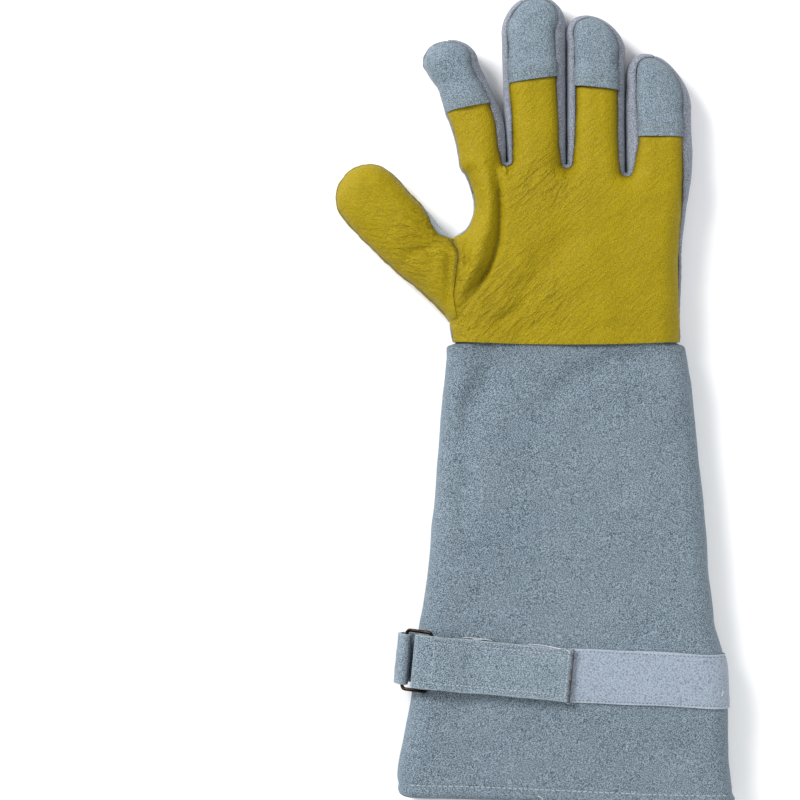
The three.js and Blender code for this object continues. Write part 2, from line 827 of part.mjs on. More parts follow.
// The back of the hand wraps up round the outer side of the little finger and the palm.
function makeBack() {
  const grids = [faced(trunkField(-1), -1)];
  fingers.forEach((finger) => {
    const field = fingerField(finger, -1, 0, shoulderRow);
    const caps = [stretches[`${finger.name}CapLeft`], stretches[`${finger.name}CapRight`]];
    grids.push(faced(field, -1));
    grids.push(faced(capGrid(caps[0], caps[1], field[shoulderRow], fingerColumns, -1), -1));
  });
  grids.push(panelRim(eased(stretches.wrist, 'last'), -1));
  ['indexSide', 'indexLeft', 'indexCapLeft'].forEach((name) => {
    const samples = name === 'indexSide' ? eased(stretches[name], 'first') : stretches[name];
    grids.push(panelRim(samples, -1));
  });
  ['littleCapRight', 'littleRight', 'ulnar'].forEach((name) => {
    const wrap = rimGrid(stretches[name], fromField(-1), (sample) => insetTurn(sample) - seamTurn, wrapSteps);
    grids.push(faced(wrap, -1));
  });
  addPiece('back_panel', leather(grids, suedeWall), suede);
}

// A fingertip patch laps over the palm leather and is raised there by what lies under it.
function makeTipPatch(finger) {
  const lift = suedeWall + lapGap;
  const raiseOf = (level) => (level <= lapRow ? lift : 0);
  const field = fingerField(finger, 1, patchRow, shoulderRow);
  const caps = [stretches[`${finger.name}CapLeft`], stretches[`${finger.name}CapRight`]];
  const cap = capGrid(caps[0], caps[1], field[shoulderRow - patchRow], fingerColumns, 1);
  field.forEach((row, r) => raiseRow(row, raiseOf(r + patchRow)));
  const grids = [field, cap];
  if (finger.name === 'index') {
    const side = panelRim(stretches.indexLeft.slice(patchRow), 1);
    side.forEach((row) => row.forEach((vertex, c) => raiseRow([vertex], raiseOf(c + patchRow))));
    grids.push(side, panelRim(stretches.indexCapLeft, 1));
  }
  addPiece(`tip_patch_${finger.name}`, leather(grids, suedeWall), suede);
}

function raiseRow(row, raise) {
  row.forEach((vertex) => vertex.p.addScaledVector(vertex.n, raise));
}

// A fourchette is the side wall between two fingers, from one apex round the cleft to the next.
function makeFourchette(i) {
  const names = [`${fingers[i].name}CapRight`, `${fingers[i].name}Right`, `cleft${i}`];
  names.push(`${fingers[i + 1].name}Left`, `${fingers[i + 1].name}CapLeft`);
  const samples = [];
  names.forEach((name) => samples.push(...(samples.length > 0 ? stretches[name].slice(1) : stretches[name])));
  const clear = eased(eased(samples, 'first'), 'last');
  const band = rimGrid(
    clear,
    (sample) => insetTurn(sample) - seamTurn,
    (sample) => seamTurn - insetTurn(sample),
    wrapSteps,
  );
  addPiece(`fourchette_${fingers[i].name}_${fingers[i + 1].name}`, leather([band], suedeWall), suede);
}

// Half of the thumb, on the palm side (+) or on the back (-).
function makeThumb(name, side) {
  const low = eased(stretches.thumbLow, 'first');
  const high = eased(stretches.thumbHigh, 'last');
  const left = low.map((sample) => fieldEdge(sample, side));
  const right = high.map((sample) => fieldEdge(sample, side)).reverse();
  const bottom = seamLine(right[0], left[0], -seamGap / 2, side).reverse();
  const shoulder = crossRow(left[thumbRows], right[thumbRows], seamColumns, side);
  const caps = [stretches.thumbCapLeft, stretches.thumbCapRight];
  const grids = [
    faced(patchGrid(bottom, shoulder, left, right, side), side),
    faced(capGrid(caps[0], caps[1], shoulder, seamColumns, side), side),
    panelRim(low, side),
    panelRim(caps[0], side),
    panelRim(caps[1], side),
    panelRim(high, side),
  ];
  addPiece(name, leather(grids, palmWall), yellow);
}

function makeGusset() {
  const band = rimGrid(
    gussetSamples,
    (sample) => upperSeam(sample) - gussetClear,
    (sample) => lowerSeam(sample) + gussetClear,
    rimSteps,
  );
  addPiece('thumb_gusset', leather([band], palmWall), suede);
}

// Edges, crown and height of the cuff at a distance below the cuff seam.
function cuffAt(y) {
  const t = Math.max(-y / cuffLength, cuffSections[0].t);
  const spread = hemWidth - palmWidth;
  const read = (column) => readTable(cuffSections, 't', column, t);
  return {
    left: wristLeft[0].x * palmWidth - spread * leftFlareShare * read('left'),
    right: littleOuter[littleOuter.length - 1].x * palmWidth + spread * (1 - leftFlareShare) * read('right'),
    crown: cuffCrown * read('crown'),
  };
}

function cuffFront(x, y) {
  const cuff = cuffAt(y);
  const dome = domeShare(Math.min(x - cuff.left, cuff.right - x), cuffEdgeRound);
  const press = foldDepth(cuffDents, x, -y, palmWidth, cuffLength, palmWidth, cuffCrown);
  return cuffRestHeight + (cuff.crown - press) * dome;
}

// A point of the cuff's rounded left (-) or right (+) edge, at a turn above its widest line.
function cuffEdge(y, hand, turn, raise = 0) {
  const cuff = cuffAt(y);
  const x = (hand > 0 ? cuff.right : cuff.left) - hand * cuffEdgeRound * (1 - Math.cos(turn));
  const rise = turn > 0 ? cuffFront(x, y) - cuffRestHeight : cuffRestHeight * Math.sin(-turn);
  const height = turn > 0 ? rise : -rise;
  const away = new THREE.Vector3(hand * cuffRestHeight * Math.cos(turn), 0, cuffEdgeRound * Math.sin(turn));
  return new THREE.Vector3(x, y, cuffRestHeight + height).addScaledVector(away.normalize(), raise);
}

// One section of the cuff as a closed row of points, clockwise seen from the wrist.
function cuffRow(y, wall) {
  const row = [];
  const place = (p) => row.push({ p: p.setY(y + hemLift(p.x, y)), wall });
  for (let k = 0; k <= cuffArcSteps; k += 1) {
    place(cuffEdge(y, -1, lerp(-90, 90, k / cuffArcSteps) * degree));
  }
  const cuff = cuffAt(y);
  const xAt = (share) => lerp(cuff.left + cuffEdgeRound, cuff.right - cuffEdgeRound, share);
  for (let k = 1; k < acrossSteps; k += 1) {
    const x = xAt(k / acrossSteps);
    place(new THREE.Vector3(x, y, cuffFront(x, y)));
  }
  for (let k = 0; k <= cuffArcSteps; k += 1) {
    place(cuffEdge(y, 1, lerp(90, -90, k / cuffArcSteps) * degree));
  }
  for (let k = acrossSteps - 1; k > 0; k -= 1) {
    place(new THREE.Vector3(xAt(k / acrossSteps), y, 0));
  }
  row.push(row[0]);
  return row;
}

// The hem's thumb-side corner sits a little higher than the rest of the hem.
function hemLift(x, y) {
  const towardsThumb = smooth(0.5 - x / hemWidth);
  return hemRise * towardsThumb * smooth((-y / cuffLength - 1) / hemRiseShare + 1);
}

// The tucked end of the cuff follows the hand's own section, inside the hand's leather.
function tuckRow(y) {
  const inside = Math.max(palmWall, suedeWall) + lapGap;
  const left = { p: new THREE.Vector2(outline[0].p.x, y), n: new THREE.Vector2(1, 0) };
  const right = { p: new THREE.Vector2(outline[outline.length - 1].p.x, y), n: new THREE.Vector2(-1, 0) };
  const row = [];
  const place = (v) => row.push({ p: v.p.clone().addScaledVector(v.n, -inside), wall: cuffWall });
  const xAt = (k) => lerp(left.p.x + edgeRound, right.p.x - edgeRound, k / acrossSteps);
  for (let k = 0; k <= cuffArcSteps; k += 1) {
    place(onRim(left, lerp(-90, 90, k / cuffArcSteps) * degree));
  }
  for (let k = 1; k < acrossSteps; k += 1) {
    place(lifted(xAt(k), y, 1));
  }
  for (let k = 0; k <= cuffArcSteps; k += 1) {
    place(onRim(right, lerp(90, -90, k / cuffArcSteps) * degree));
  }
  for (let k = acrossSteps - 1; k > 0; k -= 1) {
    place(lifted(xAt(k), y, -1));
  }
  row.push(row[0]);
  return row;
}

function makeCuff() {
  const rows = [tuckRow(cuffTuck), tuckRow(-seamSag - suedeWall)];
  cuffSections.forEach((section) => rows.push(cuffRow(-section.t * cuffLength, cuffWall)));
  const foldRow = cuffRow(-(cuffLength - hemFold), 2 * cuffWall);
  rows.splice(rows.length - 2, 0, foldRow);
  rows.slice(-2).forEach((row) => row.forEach((vertex) => {
    vertex.wall = 2 * cuffWall;
  }));
  addPiece('cuff', leather([faced(rows, -1)], cuffWall), suede);
}

// A point of the cuff's front by its column: left edge turns, the flat stretch, right edge turns.
function cuffColumnPoint(y, column) {
  if (column.turn !== undefined) {
    return cuffEdge(y, 1, column.turn);
  }
  const cuff = cuffAt(y);
  const x = lerp(cuff.left + cuffEdgeRound, cuff.right - cuffEdgeRound, column.share);
  return new THREE.Vector3(x, y, cuffFront(x, y));
}

// The closure's own axes: along the strap, and across it, from the thumb-side edge of the cuff.
const closureY = -closureDrop;
const closureOrigin = new THREE.Vector2(cuffAt(closureY).left, closureY);
const strapAlong = new THREE.Vector2(1, -strapSlope).normalize();
const strapAcross = new THREE.Vector2(-strapAlong.y, strapAlong.x);

function closurePoint(along, across) {
  return closureOrigin.clone().addScaledVector(strapAlong, along).addScaledVector(strapAcross, across);
}

// The loop tape is sewn on the front and runs round the outer edge into the side seam.
function makeTape() {
  const strapEnd = closurePoint(strapLength, 0);
  const columns = [{ share: tapeStart }];
  for (let k = 1; k <= acrossSteps; k += 1) {
    columns.push({ share: k / acrossSteps });
  }
  const stepTurn = 180 / cuffArcSteps;
  for (let turn = 90 - stepTurn; turn >= -stepTurn; turn -= stepTurn) {
    columns.push({ turn: turn * degree });
  }
  const grid = [];
  for (let r = 0; r <= tapeSteps; r += 1) {
    const offset = lerp(tapeWidth / 2, -tapeWidth / 2, r / tapeSteps);
    grid.push(columns.map((column) => {
      const level = cuffColumnPoint(strapEnd.y, column);
      const y = strapEnd.y - tapeSlope * (level.x - strapEnd.x) + offset;
      return { p: cuffColumnPoint(y, column) };
    }));
  }
  addPiece('loop_tape', leather([faced(grid, -1)], tapeWall, restGap + tapeWall), pile);
}

// The ring's two long bars: places along the strap and heights above the rest surface.
const innerBar = { along: innerBarShift };
const outerBar = { along: innerBarShift - ringReach };
const innerBarPlace = closurePoint(innerBar.along, 0);
innerBar.z = cuffFront(innerBarPlace.x, innerBarPlace.y) + 2 * restGap + strapWall + ringWire / 2 + strapEase;
outerBar.z = innerBar.z - ringDrop;

// A band of constant width along a path of (along, z) points, its wall centred on the path.
function bandGeometry(path, width, wall) {
  const grid = path.map((point) => {
    const row = [];
    for (let c = 0; c <= bandSteps; c += 1) {
      const place = closurePoint(point.along, lerp(-width / 2, width / 2, c / bandSteps));
      const z = point.onCuff ? cuffFront(place.x, place.y) + point.above : point.z;
      row.push({ p: new THREE.Vector3(place.x, place.y, z) });
    }
    return row;
  });
  return leather([faced(grid, -1)], wall, wall / 2);
}

// The strap comes back under the ring's inner bar, loops over it and runs along the cuff.
function makeStrap() {
  const clear = ringWire / 2 + restGap + strapWall / 2;
  const path = strapLoop.map((step) => ({
    along: innerBar.along + step.out * strapLoopReach,
    z: innerBar.z + step.up * (clear + loopEase),
  }));
  const above = 2 * restGap + tapeWall + strapWall / 2;
  const flatStart = strapLength * strapFlatStart;
  for (let k = 0; k <= strapSteps; k += 1) {
    path.push({ along: lerp(flatStart, strapLength, k / strapSteps), above, onCuff: true });
  }
  addPiece('strap', bandGeometry(path, strapWidth, strapWall), suede);
}

// The keeper rises round the edge of the cuff, over the ring's outer bar and back down inside.
function makeKeeper() {
  const radius = ringWire / 2 + restGap + keeperWall / 2;
  const path = keeperLine.map((step) => ({ along: -step.out * keeperReach, z: step.up * outerBar.z }));
  keeperTurns.forEach((turn) => {
    path.push({
      along: outerBar.along + radius * Math.cos(turn * degree),
      z: outerBar.z + radius * Math.sin(turn * degree),
    });
  });
  keeperReturn.forEach((step) => {
    path.push({ along: -step.out * keeperReach, z: step.up * outerBar.z });
  });
  addPiece('ring_keeper', bandGeometry(path, keeperWidth, keeperWall), suede);
}

// The wire ring: a round section carried along a rounded rectangle between its two bars.
function makeRing() {
  const centre = closurePoint((innerBar.along + outerBar.along) / 2, 0);
  const middle = new THREE.Vector3(centre.x, centre.y, (innerBar.z + outerBar.z) / 2);
  const rise = new THREE.Vector3(strapAlong.x * ringReach, strapAlong.y * ringReach, ringDrop);
  const halfAcross = rise.length() / 2;
  const across = rise.clone().normalize();
  const along = new THREE.Vector3(strapAcross.x, strapAcross.y, 0);
  const normal = across.clone().cross(along);
  const halfLong = (ringLength - ringWire) / 2;
  const rings = [];
  const corners = [[1, 1], [-1, 1], [-1, -1], [1, -1]];
  corners.forEach(([sideAcross, sideAlong], corner) => {
    for (let k = 0; k <= ringCornerSteps; k += 1) {
      const turn = (corner + k / ringCornerSteps) * 90 * degree;
      const out = across.clone().multiplyScalar(Math.cos(turn)).addScaledVector(along, Math.sin(turn));
      const place = middle.clone()
        .addScaledVector(across, sideAcross * (halfAcross - ringCorner))
        .addScaledVector(along, sideAlong * (halfLong - ringCorner))
        .addScaledVector(out, ringCorner);
      rings.push({ place, out });
    }
  });
  const positions = [];
  const triangles = [];
  rings.forEach(({ place, out }, r) => {
    for (let k = 0; k < ringSides; k += 1) {
      const turn = (2 * Math.PI * k) / ringSides;
      const point = place.clone()
        .addScaledVector(out, (ringWire / 2) * Math.cos(turn))
        .addScaledVector(normal, (ringWire / 2) * Math.sin(turn));
      positions.push(point.x, point.y, point.z);
      const next = (r + 1) % rings.length;
      const after = (k + 1) % ringSides;
      const [a, b, c, d] = [
        r * ringSides + k, next * ringSides + k, next * ringSides + after, r * ringSides + after,
      ];
      triangles.push(a, b, c, a, c, d);
    }
  });
  const geometry = new THREE.BufferGeometry();
  geometry.setAttribute('position', new THREE.Float32BufferAttribute(positions, 3));
  geometry.setIndex(triangles);
  geometry.computeVertexNormals();
  addPiece('ring', geometry, bronze);
}

makePalm();
makeBack();
fingers.forEach(makeTipPatch);
clefts.forEach((_, i) => makeFourchette(i));
makeThumb('thumb_front', 1);
makeThumb('thumb_back', -1);
makeGusset();
makeCuff();
makeTape();
makeStrap();
makeRing();
makeKeeper();

// The origin is under the middle of the glove, on the surface that it lies on.
const reach = new THREE.Box3().setFromObject(glove);
const middle = reach.getCenter(new THREE.Vector3());
glove.position.set(-middle.x, -middle.y, -reach.min.z);

export default glove;
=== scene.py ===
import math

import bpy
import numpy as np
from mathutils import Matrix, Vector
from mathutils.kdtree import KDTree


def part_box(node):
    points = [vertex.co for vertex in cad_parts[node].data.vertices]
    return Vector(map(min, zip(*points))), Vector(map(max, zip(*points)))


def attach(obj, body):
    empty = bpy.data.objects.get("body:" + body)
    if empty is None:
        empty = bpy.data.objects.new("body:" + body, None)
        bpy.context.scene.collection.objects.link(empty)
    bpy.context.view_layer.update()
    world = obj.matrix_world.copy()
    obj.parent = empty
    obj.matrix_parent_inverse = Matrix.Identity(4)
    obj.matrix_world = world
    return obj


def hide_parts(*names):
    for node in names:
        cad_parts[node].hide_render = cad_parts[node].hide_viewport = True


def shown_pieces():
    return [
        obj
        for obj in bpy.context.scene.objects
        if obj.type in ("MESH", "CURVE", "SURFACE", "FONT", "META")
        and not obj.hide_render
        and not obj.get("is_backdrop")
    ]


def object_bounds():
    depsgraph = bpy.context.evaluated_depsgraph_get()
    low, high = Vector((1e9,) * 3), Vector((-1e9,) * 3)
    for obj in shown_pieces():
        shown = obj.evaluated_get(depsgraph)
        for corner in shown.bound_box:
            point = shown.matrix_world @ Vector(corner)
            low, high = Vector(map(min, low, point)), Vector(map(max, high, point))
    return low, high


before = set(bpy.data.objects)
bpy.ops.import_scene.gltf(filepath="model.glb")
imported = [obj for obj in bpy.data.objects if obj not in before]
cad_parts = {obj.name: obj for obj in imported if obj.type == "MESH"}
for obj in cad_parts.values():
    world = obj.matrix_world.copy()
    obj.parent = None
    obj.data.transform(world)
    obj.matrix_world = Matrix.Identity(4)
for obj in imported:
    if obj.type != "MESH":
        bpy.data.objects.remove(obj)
cad_low, cad_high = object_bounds()

# %% [markdown]
# # A long leather gauntlet for pruning roses
# The real glove is sewn from flat pieces of leather: a yellow grain palm and thumb, grey suede
# for the back, the fingertips, the finger sides and the long cuff. A strap with a wire ring
# closes the cuff. It lies palm up. Every leather piece here is one curved sheet that gets its
# thickness afterwards, because that is how leather is cut and sewn. The sheets are shaped in
# code, after the creases in the photo, without a cloth simulation.

MM = 0.001
DEGREE = math.pi / 180


def ease(share):
    share = np.clip(share, 0, 1)
    return share * share * (3 - 2 * share)


def mix(a, b, share):
    return a + (b - a) * share


def bell(away, width, power=2):
    return np.exp(-((away / width) ** power))


def around(points, centre, size):
    """A soft oval spot on the plan, 1 in its middle."""
    return np.exp(-(((points[:, :2] - centre) / size) ** 2).sum(axis=1))


def waves(points, length, seed, count=14):
    """Soft seeded unevenness between about -1 and 1, with humps of roughly this length in mm."""
    rng = np.random.default_rng(seed)
    ways = rng.normal(size=(count, points.shape[-1]))
    pitch = 2 * math.pi / length * rng.uniform(0.6, 1.4, count)
    ways *= (pitch / np.linalg.norm(ways, axis=1))[:, None]
    turns = rng.uniform(0, 2 * math.pi, count)
    return np.cos(points @ ways.T + turns).sum(axis=-1) / math.sqrt(count) * 0.75


def deselect():
    for other in bpy.context.selected_objects:
        other.select_set(False)


def read_points(piece):
    points = np.empty(len(piece.data.vertices) * 3)
    piece.data.vertices.foreach_get("co", points)
    return points.reshape(-1, 3) / MM


def move_points(piece, points):
    piece.data.vertices.foreach_set("co", (points * MM).ravel())
    piece.data.update()


def read_normals(piece):
    normals = np.empty(len(piece.data.vertices) * 3)
    piece.data.vertex_normals.foreach_get("vector", normals)
    return normals.reshape(-1, 3)


def push_out(piece, lift):
    """Moves each point along its normal, by mm."""
    move_points(piece, read_points(piece) + read_normals(piece) * lift[:, None])


def sheet(places, flip=False):
    """A grid primitive whose points are moved to their places, given row by row in mm."""
    rows, columns = places.shape[0] - 1, places.shape[1] - 1
    deselect()
    bpy.ops.mesh.primitive_grid_add(x_subdivisions=columns, y_subdivisions=rows, size=2)
    piece = bpy.context.object
    flat = read_points(piece) * MM
    column = np.rint((flat[:, 0] + 1) / 2 * columns).astype(int)
    row = np.rint((flat[:, 1] + 1) / 2 * rows).astype(int)
    if flip:
        column = columns - column
    move_points(piece, places[row, column])
    return piece


def join(name, pieces, weld=0.03):
    """Joins sheets into one and welds the points that lie on each other."""
    deselect()
    for piece in pieces:
        piece.select_set(True)
    bpy.context.view_layer.objects.active = pieces[0]
    if len(pieces) > 1:
        bpy.ops.object.join()
    piece = bpy.context.object
    piece.name = piece.data.name = name
    if weld:
        bpy.ops.object.mode_set(mode="EDIT")
        bpy.ops.mesh.select_all(action="SELECT")
        bpy.ops.mesh.remove_doubles(threshold=weld * MM)
        bpy.ops.object.mode_set(mode="OBJECT")
    return piece


def only(piece):
    deselect()
    piece.select_set(True)
    bpy.context.view_layer.objects.active = piece


def apply(piece, kind, **settings):
    only(piece)
    modifier = piece.modifiers.new(kind.title(), kind)
    for key, value in settings.items():
        setattr(modifier, key, value)
    bpy.ops.object.modifier_apply(modifier=modifier.name)


def shade_smooth(piece, angle=60):
    only(piece)
    bpy.ops.object.shade_smooth_by_angle(angle=angle * DEGREE)


def press_flat(piece):
    """Lifts what would sink into the table up to its surface."""
    points = read_points(piece)
    points[:, 2] = np.maximum(points[:, 2], 0)
    move_points(piece, points)


def finish_leather(piece, wall, offset=-1, bevel=0.25, angle=50):
    """Gives a sheet its thickness, rounds its cut edges and shades it smooth."""
    apply(piece, "SOLIDIFY", thickness=wall * MM, offset=offset)
    turn = angle * DEGREE
    apply(piece, "BEVEL", width=bevel * MM, segments=2, limit_method="ANGLE", angle_limit=turn)
    press_flat(piece)
    shade_smooth(piece, angle)
    return piece


def paint(piece, name, values):
    """Stores one number per point, which a material reads back."""
    layer = piece.data.attributes.new(name, "FLOAT", "POINT")
    layer.data.foreach_set("value", np.ascontiguousarray(values, dtype=np.float32))


print("CAD box in mm:", [round(v / MM, 1) for v in (*cad_low, *cad_high)])

# %% [markdown]
# ## Where the hand and the cuff are
# The same outline and tables as in the solid model, in mm, with much finer steps. The outline
# runs from the wrist round the thumb and every finger back to the wrist. A section of the hand is
# a rounded rim, then a low dome on the palm side and a flat rest on the back.

# %% Sizes of the hand
HAND_LENGTH = 195
PALM_WIDTH = 129
REST_HEIGHT = 10
FINGER_CROWN = 13
PALM_CROWN = 17.5
THUMB_CROWN = 13.5
EDGE_ROUND = 14
FINGER_SLIT = 0.9
SIDE_INSET = 4.6
TIP_INSET = 1.9
PATCH_LAP = 7
CAP_FULLNESS = 0.96
SEAM_SAG = 1.5
SEAM_GAP = 0.1
SEAM_TURN = SEAM_GAP / 2 / EDGE_ROUND
EDGE_SEAM = 12 * DEGREE
WEB_SPREAD = 16 * DEGREE

FINGERS = {
    "index": {
        "apex": (-0.517, 0.873), "left": (-0.629, 0.798), "right": (-0.384, 0.807),
        "patch": (0.66, 0.697),
    },
    "middle": {
        "apex": (-0.13, 1), "left": (-0.282, 0.896), "right": (-0.004, 0.896),
        "patch": (0.744, 0.764),
    },
    "ring": {
        "apex": (0.097, 0.943), "left": (0.002, 0.862), "right": (0.257, 0.848),
        "patch": (0.737, 0.724),
    },
    "little": {
        "apex": (0.381, 0.829), "left": (0.264, 0.738), "right": (0.546, 0.681),
        "patch": (0.59, 0.59),
    },
}
NAMES = list(FINGERS)
CLEFTS = [
    ((-0.271, 0.638), (-0.26, 0.52)),
    ((-0.001, 0.75), (0, 0.514)),
    ((0.256, 0.7), (0.258, 0.491)),
]
THUMB = {"apex": (-0.964, 0.487), "left": (-0.959, 0.346), "right": (-0.751, 0.484)}
WRIST_LEFT = [(-0.501, 0), (-0.506, 0.03), (-0.512, 0.058)]
THUMB_LOW = [
    (-0.512, 0.058), (-0.555, 0.092), (-0.648, 0.15), (-0.767, 0.217), (-0.896, 0.299),
    (-0.959, 0.346),
]
THUMB_HIGH = [(-0.751, 0.484), (-0.674, 0.428), (-0.586, 0.364), (-0.538, 0.322), (-0.495, 0.304)]
INDEX_OUTER = [
    (-0.495, 0.304), (-0.44, 0.329), (-0.409, 0.376), (-0.413, 0.425), (-0.44, 0.478), (-0.464, 0.5),
    (-0.478, 0.551), (-0.499, 0.61), (-0.53, 0.666), (-0.557, 0.724), (-0.596, 0.759), (-0.629, 0.798),
]
LITTLE_OUTER = [
    (0.546, 0.681), (0.548, 0.57), (0.546, 0.465), (0.522, 0.37), (0.508, 0.3), (0.5, 0.172), (0.499, 0),
]
THUMB_SEAM = [(-0.476, 0.258), (-0.483, 0.201), (-0.495, 0.121)]
ULNAR_INSET = [(0, 0.12), (0.2, 0.15), (0.36, 0.5), (0.45, 1.2), (0.6, 1.35), (0.68, 1.3)]
# Width of each finger's side wall as it is seen from above: height (share of the hand), mm.
SIDE_WALLS = {
    "index_right": [(0.52, 2.3), (0.56, 4.6), (0.6, 5.2), (0.68, 5), (0.8, 4.4)],
    "middle_left": [(0.52, 2.3), (0.56, 2.8), (0.636, 3.7), (0.713, 3.2), (0.85, 3)],
    "middle_right": [(0.514, 2.6), (0.56, 4.1), (0.636, 4.5), (0.713, 4.9), (0.767, 5.5), (0.867, 6.4)],
    "ring_left": [(0.514, 2.6), (0.56, 3.6), (0.636, 4.3), (0.713, 4.3), (0.8, 4.1)],
    "ring_right": [(0.491, 3.4), (0.53, 4.4), (0.636, 4.2), (0.713, 4.1), (0.8, 4.3)],
    "little_left": [(0.491, 3.4), (0.53, 5), (0.57, 6.6), (0.62, 6.5), (0.68, 5.5), (0.73, 5)],
}
CROWN_LINE = [(-0.1, 0.75), (0.05, 0.85), (0.25, 1), (0.42, 0.85), (0.58, 0.2), (0.75, 0), (1, -0.15)]

# Steps of the sheets.
FINGER_COLUMNS = 20
FINGER_ROWS = 24
LAP_ROWS = 6
UPPER_ROWS = 14
CAP_STEPS = 14
CLEFT_STEPS = 12
SEAM_COLUMNS = 40
THUMB_ROWS = 44
INDEX_ROWS = 36
WRIST_ROWS = 9
RIM_STEPS = 8
WRAP_STEPS = 16


def table(rows, at):
    rows = np.array(rows, float)
    return np.interp(at, rows[:, 0], rows[:, 1])


def on_hand(share):
    return np.array([share[0] * PALM_WIDTH, share[1] * HAND_LENGTH])


# %% Curves through a few stations
def curve(stations, per_span=50):
    """A smooth line through the stations that doesn't overshoot where they are uneven."""
    points = np.array(stations, float)
    points = np.vstack([2 * points[0] - points[1], points, 2 * points[-1] - points[-2]])
    spans = []
    for a, b, c, d in zip(points, points[1:], points[2:], points[3:]):
        pairs = ((a, b), (b, c), (c, d))
        ab, bc, cd = (max(math.sqrt(np.linalg.norm(q - p)), 1e-6) for p, q in pairs)
        leave = ((b - a) / ab - (c - a) / (ab + bc) + (c - b) / bc) * bc
        arrive = ((c - b) / bc - (d - b) / (bc + cd) + (d - c) / cd) * bc
        t = np.linspace(0, 1, per_span, endpoint=False)[:, None]
        spans.append(
            (2 * t**3 - 3 * t**2 + 1) * b + (t**3 - 2 * t**2 + t) * leave
            + (3 * t**2 - 2 * t**3) * c + (t**3 - t**2) * arrive
        )
    return np.vstack([*spans, points[-2:-1]])


def lengths(line):
    return np.concatenate([[0], np.cumsum(np.linalg.norm(np.diff(line, axis=0), axis=1))])


def walk(line, at):
    run = lengths(line)
    return np.column_stack([np.interp(at, run, line[:, k]) for k in range(line.shape[1])])


def pace(line, steps):
    return walk(line, np.linspace(0, lengths(line)[-1], steps + 1))


def between(line, from_y, to_y, steps):
    """The part of a line between two heights, evenly stepped."""
    way = 1 if line[-1, 1] > line[0, 1] else -1
    heights = np.maximum.accumulate(way * line[:, 1]) + np.arange(len(line)) * 1e-7
    start, end = np.interp([way * from_y, way * to_y], heights, lengths(line))
    return walk(line, np.linspace(start, end, steps + 1))


def cap(tip, from_turn):
    """Half of a rounded fingertip, from a shoulder to the apex or back."""
    left, right, apex = (on_hand(tip[key]) for key in ("left", "right", "apex"))
    turn = (from_turn + 90 * np.linspace(0, 1, CAP_STEPS + 1)[:, None]) * DEGREE
    across = np.sign(np.cos(turn)) * np.abs(np.cos(turn)) ** CAP_FULLNESS
    centre = (left + right) / 2
    return centre - (right - left) / 2 * across + (apex - centre) * np.sin(turn) ** CAP_FULLNESS


def finger_side(tip, side, cleft):
    half = FINGER_SLIT / 2 * (-1 if side == "right" else 1)
    head, foot = (on_hand(share) for share in cleft)
    foot = foot + [half, FINGER_SLIT / 2]
    return curve([on_hand(tip[side]), head + [half, 0], foot])


def side_levels(line, base_y, patch_y, shoulder_y):
    low = between(line, base_y, patch_y, FINGER_ROWS)
    lap = between(line, patch_y, patch_y + PATCH_LAP, LAP_ROWS)
    high = between(line, patch_y + PATCH_LAP, shoulder_y, UPPER_ROWS)
    return np.vstack([low, lap[1:], high[1:]])


def cleft_arc(cleft):
    turn = np.linspace(math.pi, 2 * math.pi, CLEFT_STEPS + 1)
    radius = FINGER_SLIT / 2
    return on_hand(cleft[1]) + radius * np.column_stack([np.cos(turn), 1 + np.sin(turn)])


# %% The outline of the hand
plan = np.empty((0, 2))
inset = np.empty(0)
stretches = {}


def add_stretch(name, points, insets):
    global plan, inset
    values = insets(np.linspace(0, 1, len(points)), points) * np.ones(len(points))
    first = 1 if len(plan) else 0
    start = len(plan) - first
    plan = np.vstack([plan, points[first:]])
    inset = np.concatenate([inset, values[first:]])
    stretches[name] = np.arange(start, len(plan))


def even(share, points):
    return SIDE_INSET


def wall(name):
    """The width of a finger's side wall, read at the height of each point."""
    return lambda share, points: table(SIDE_WALLS[name], points[:, 1] / HAND_LENGTH)


def to_tip(name):
    start = wall_end(name)
    return lambda share, points: mix(start, TIP_INSET, share**2)


def from_tip(name):
    end = wall_end(name)
    return lambda share, points: mix(TIP_INSET, end, share**2)


def wall_end(name):
    """How wide the wall is at the finger's shoulder, where its rounded end begins."""
    tip, side = name.rsplit("_", 1)
    shoulder = (THUMB if tip == "thumb" else FINGERS[tip])[side][1]
    if name == "little_right":
        return SIDE_INSET * table(ULNAR_INSET, shoulder)
    return table(SIDE_WALLS[name], shoulder) if name in SIDE_WALLS else SIDE_INSET


def ulnar(share, points):
    return SIDE_INSET * table(ULNAR_INSET, points[:, 1] / HAND_LENGTH)


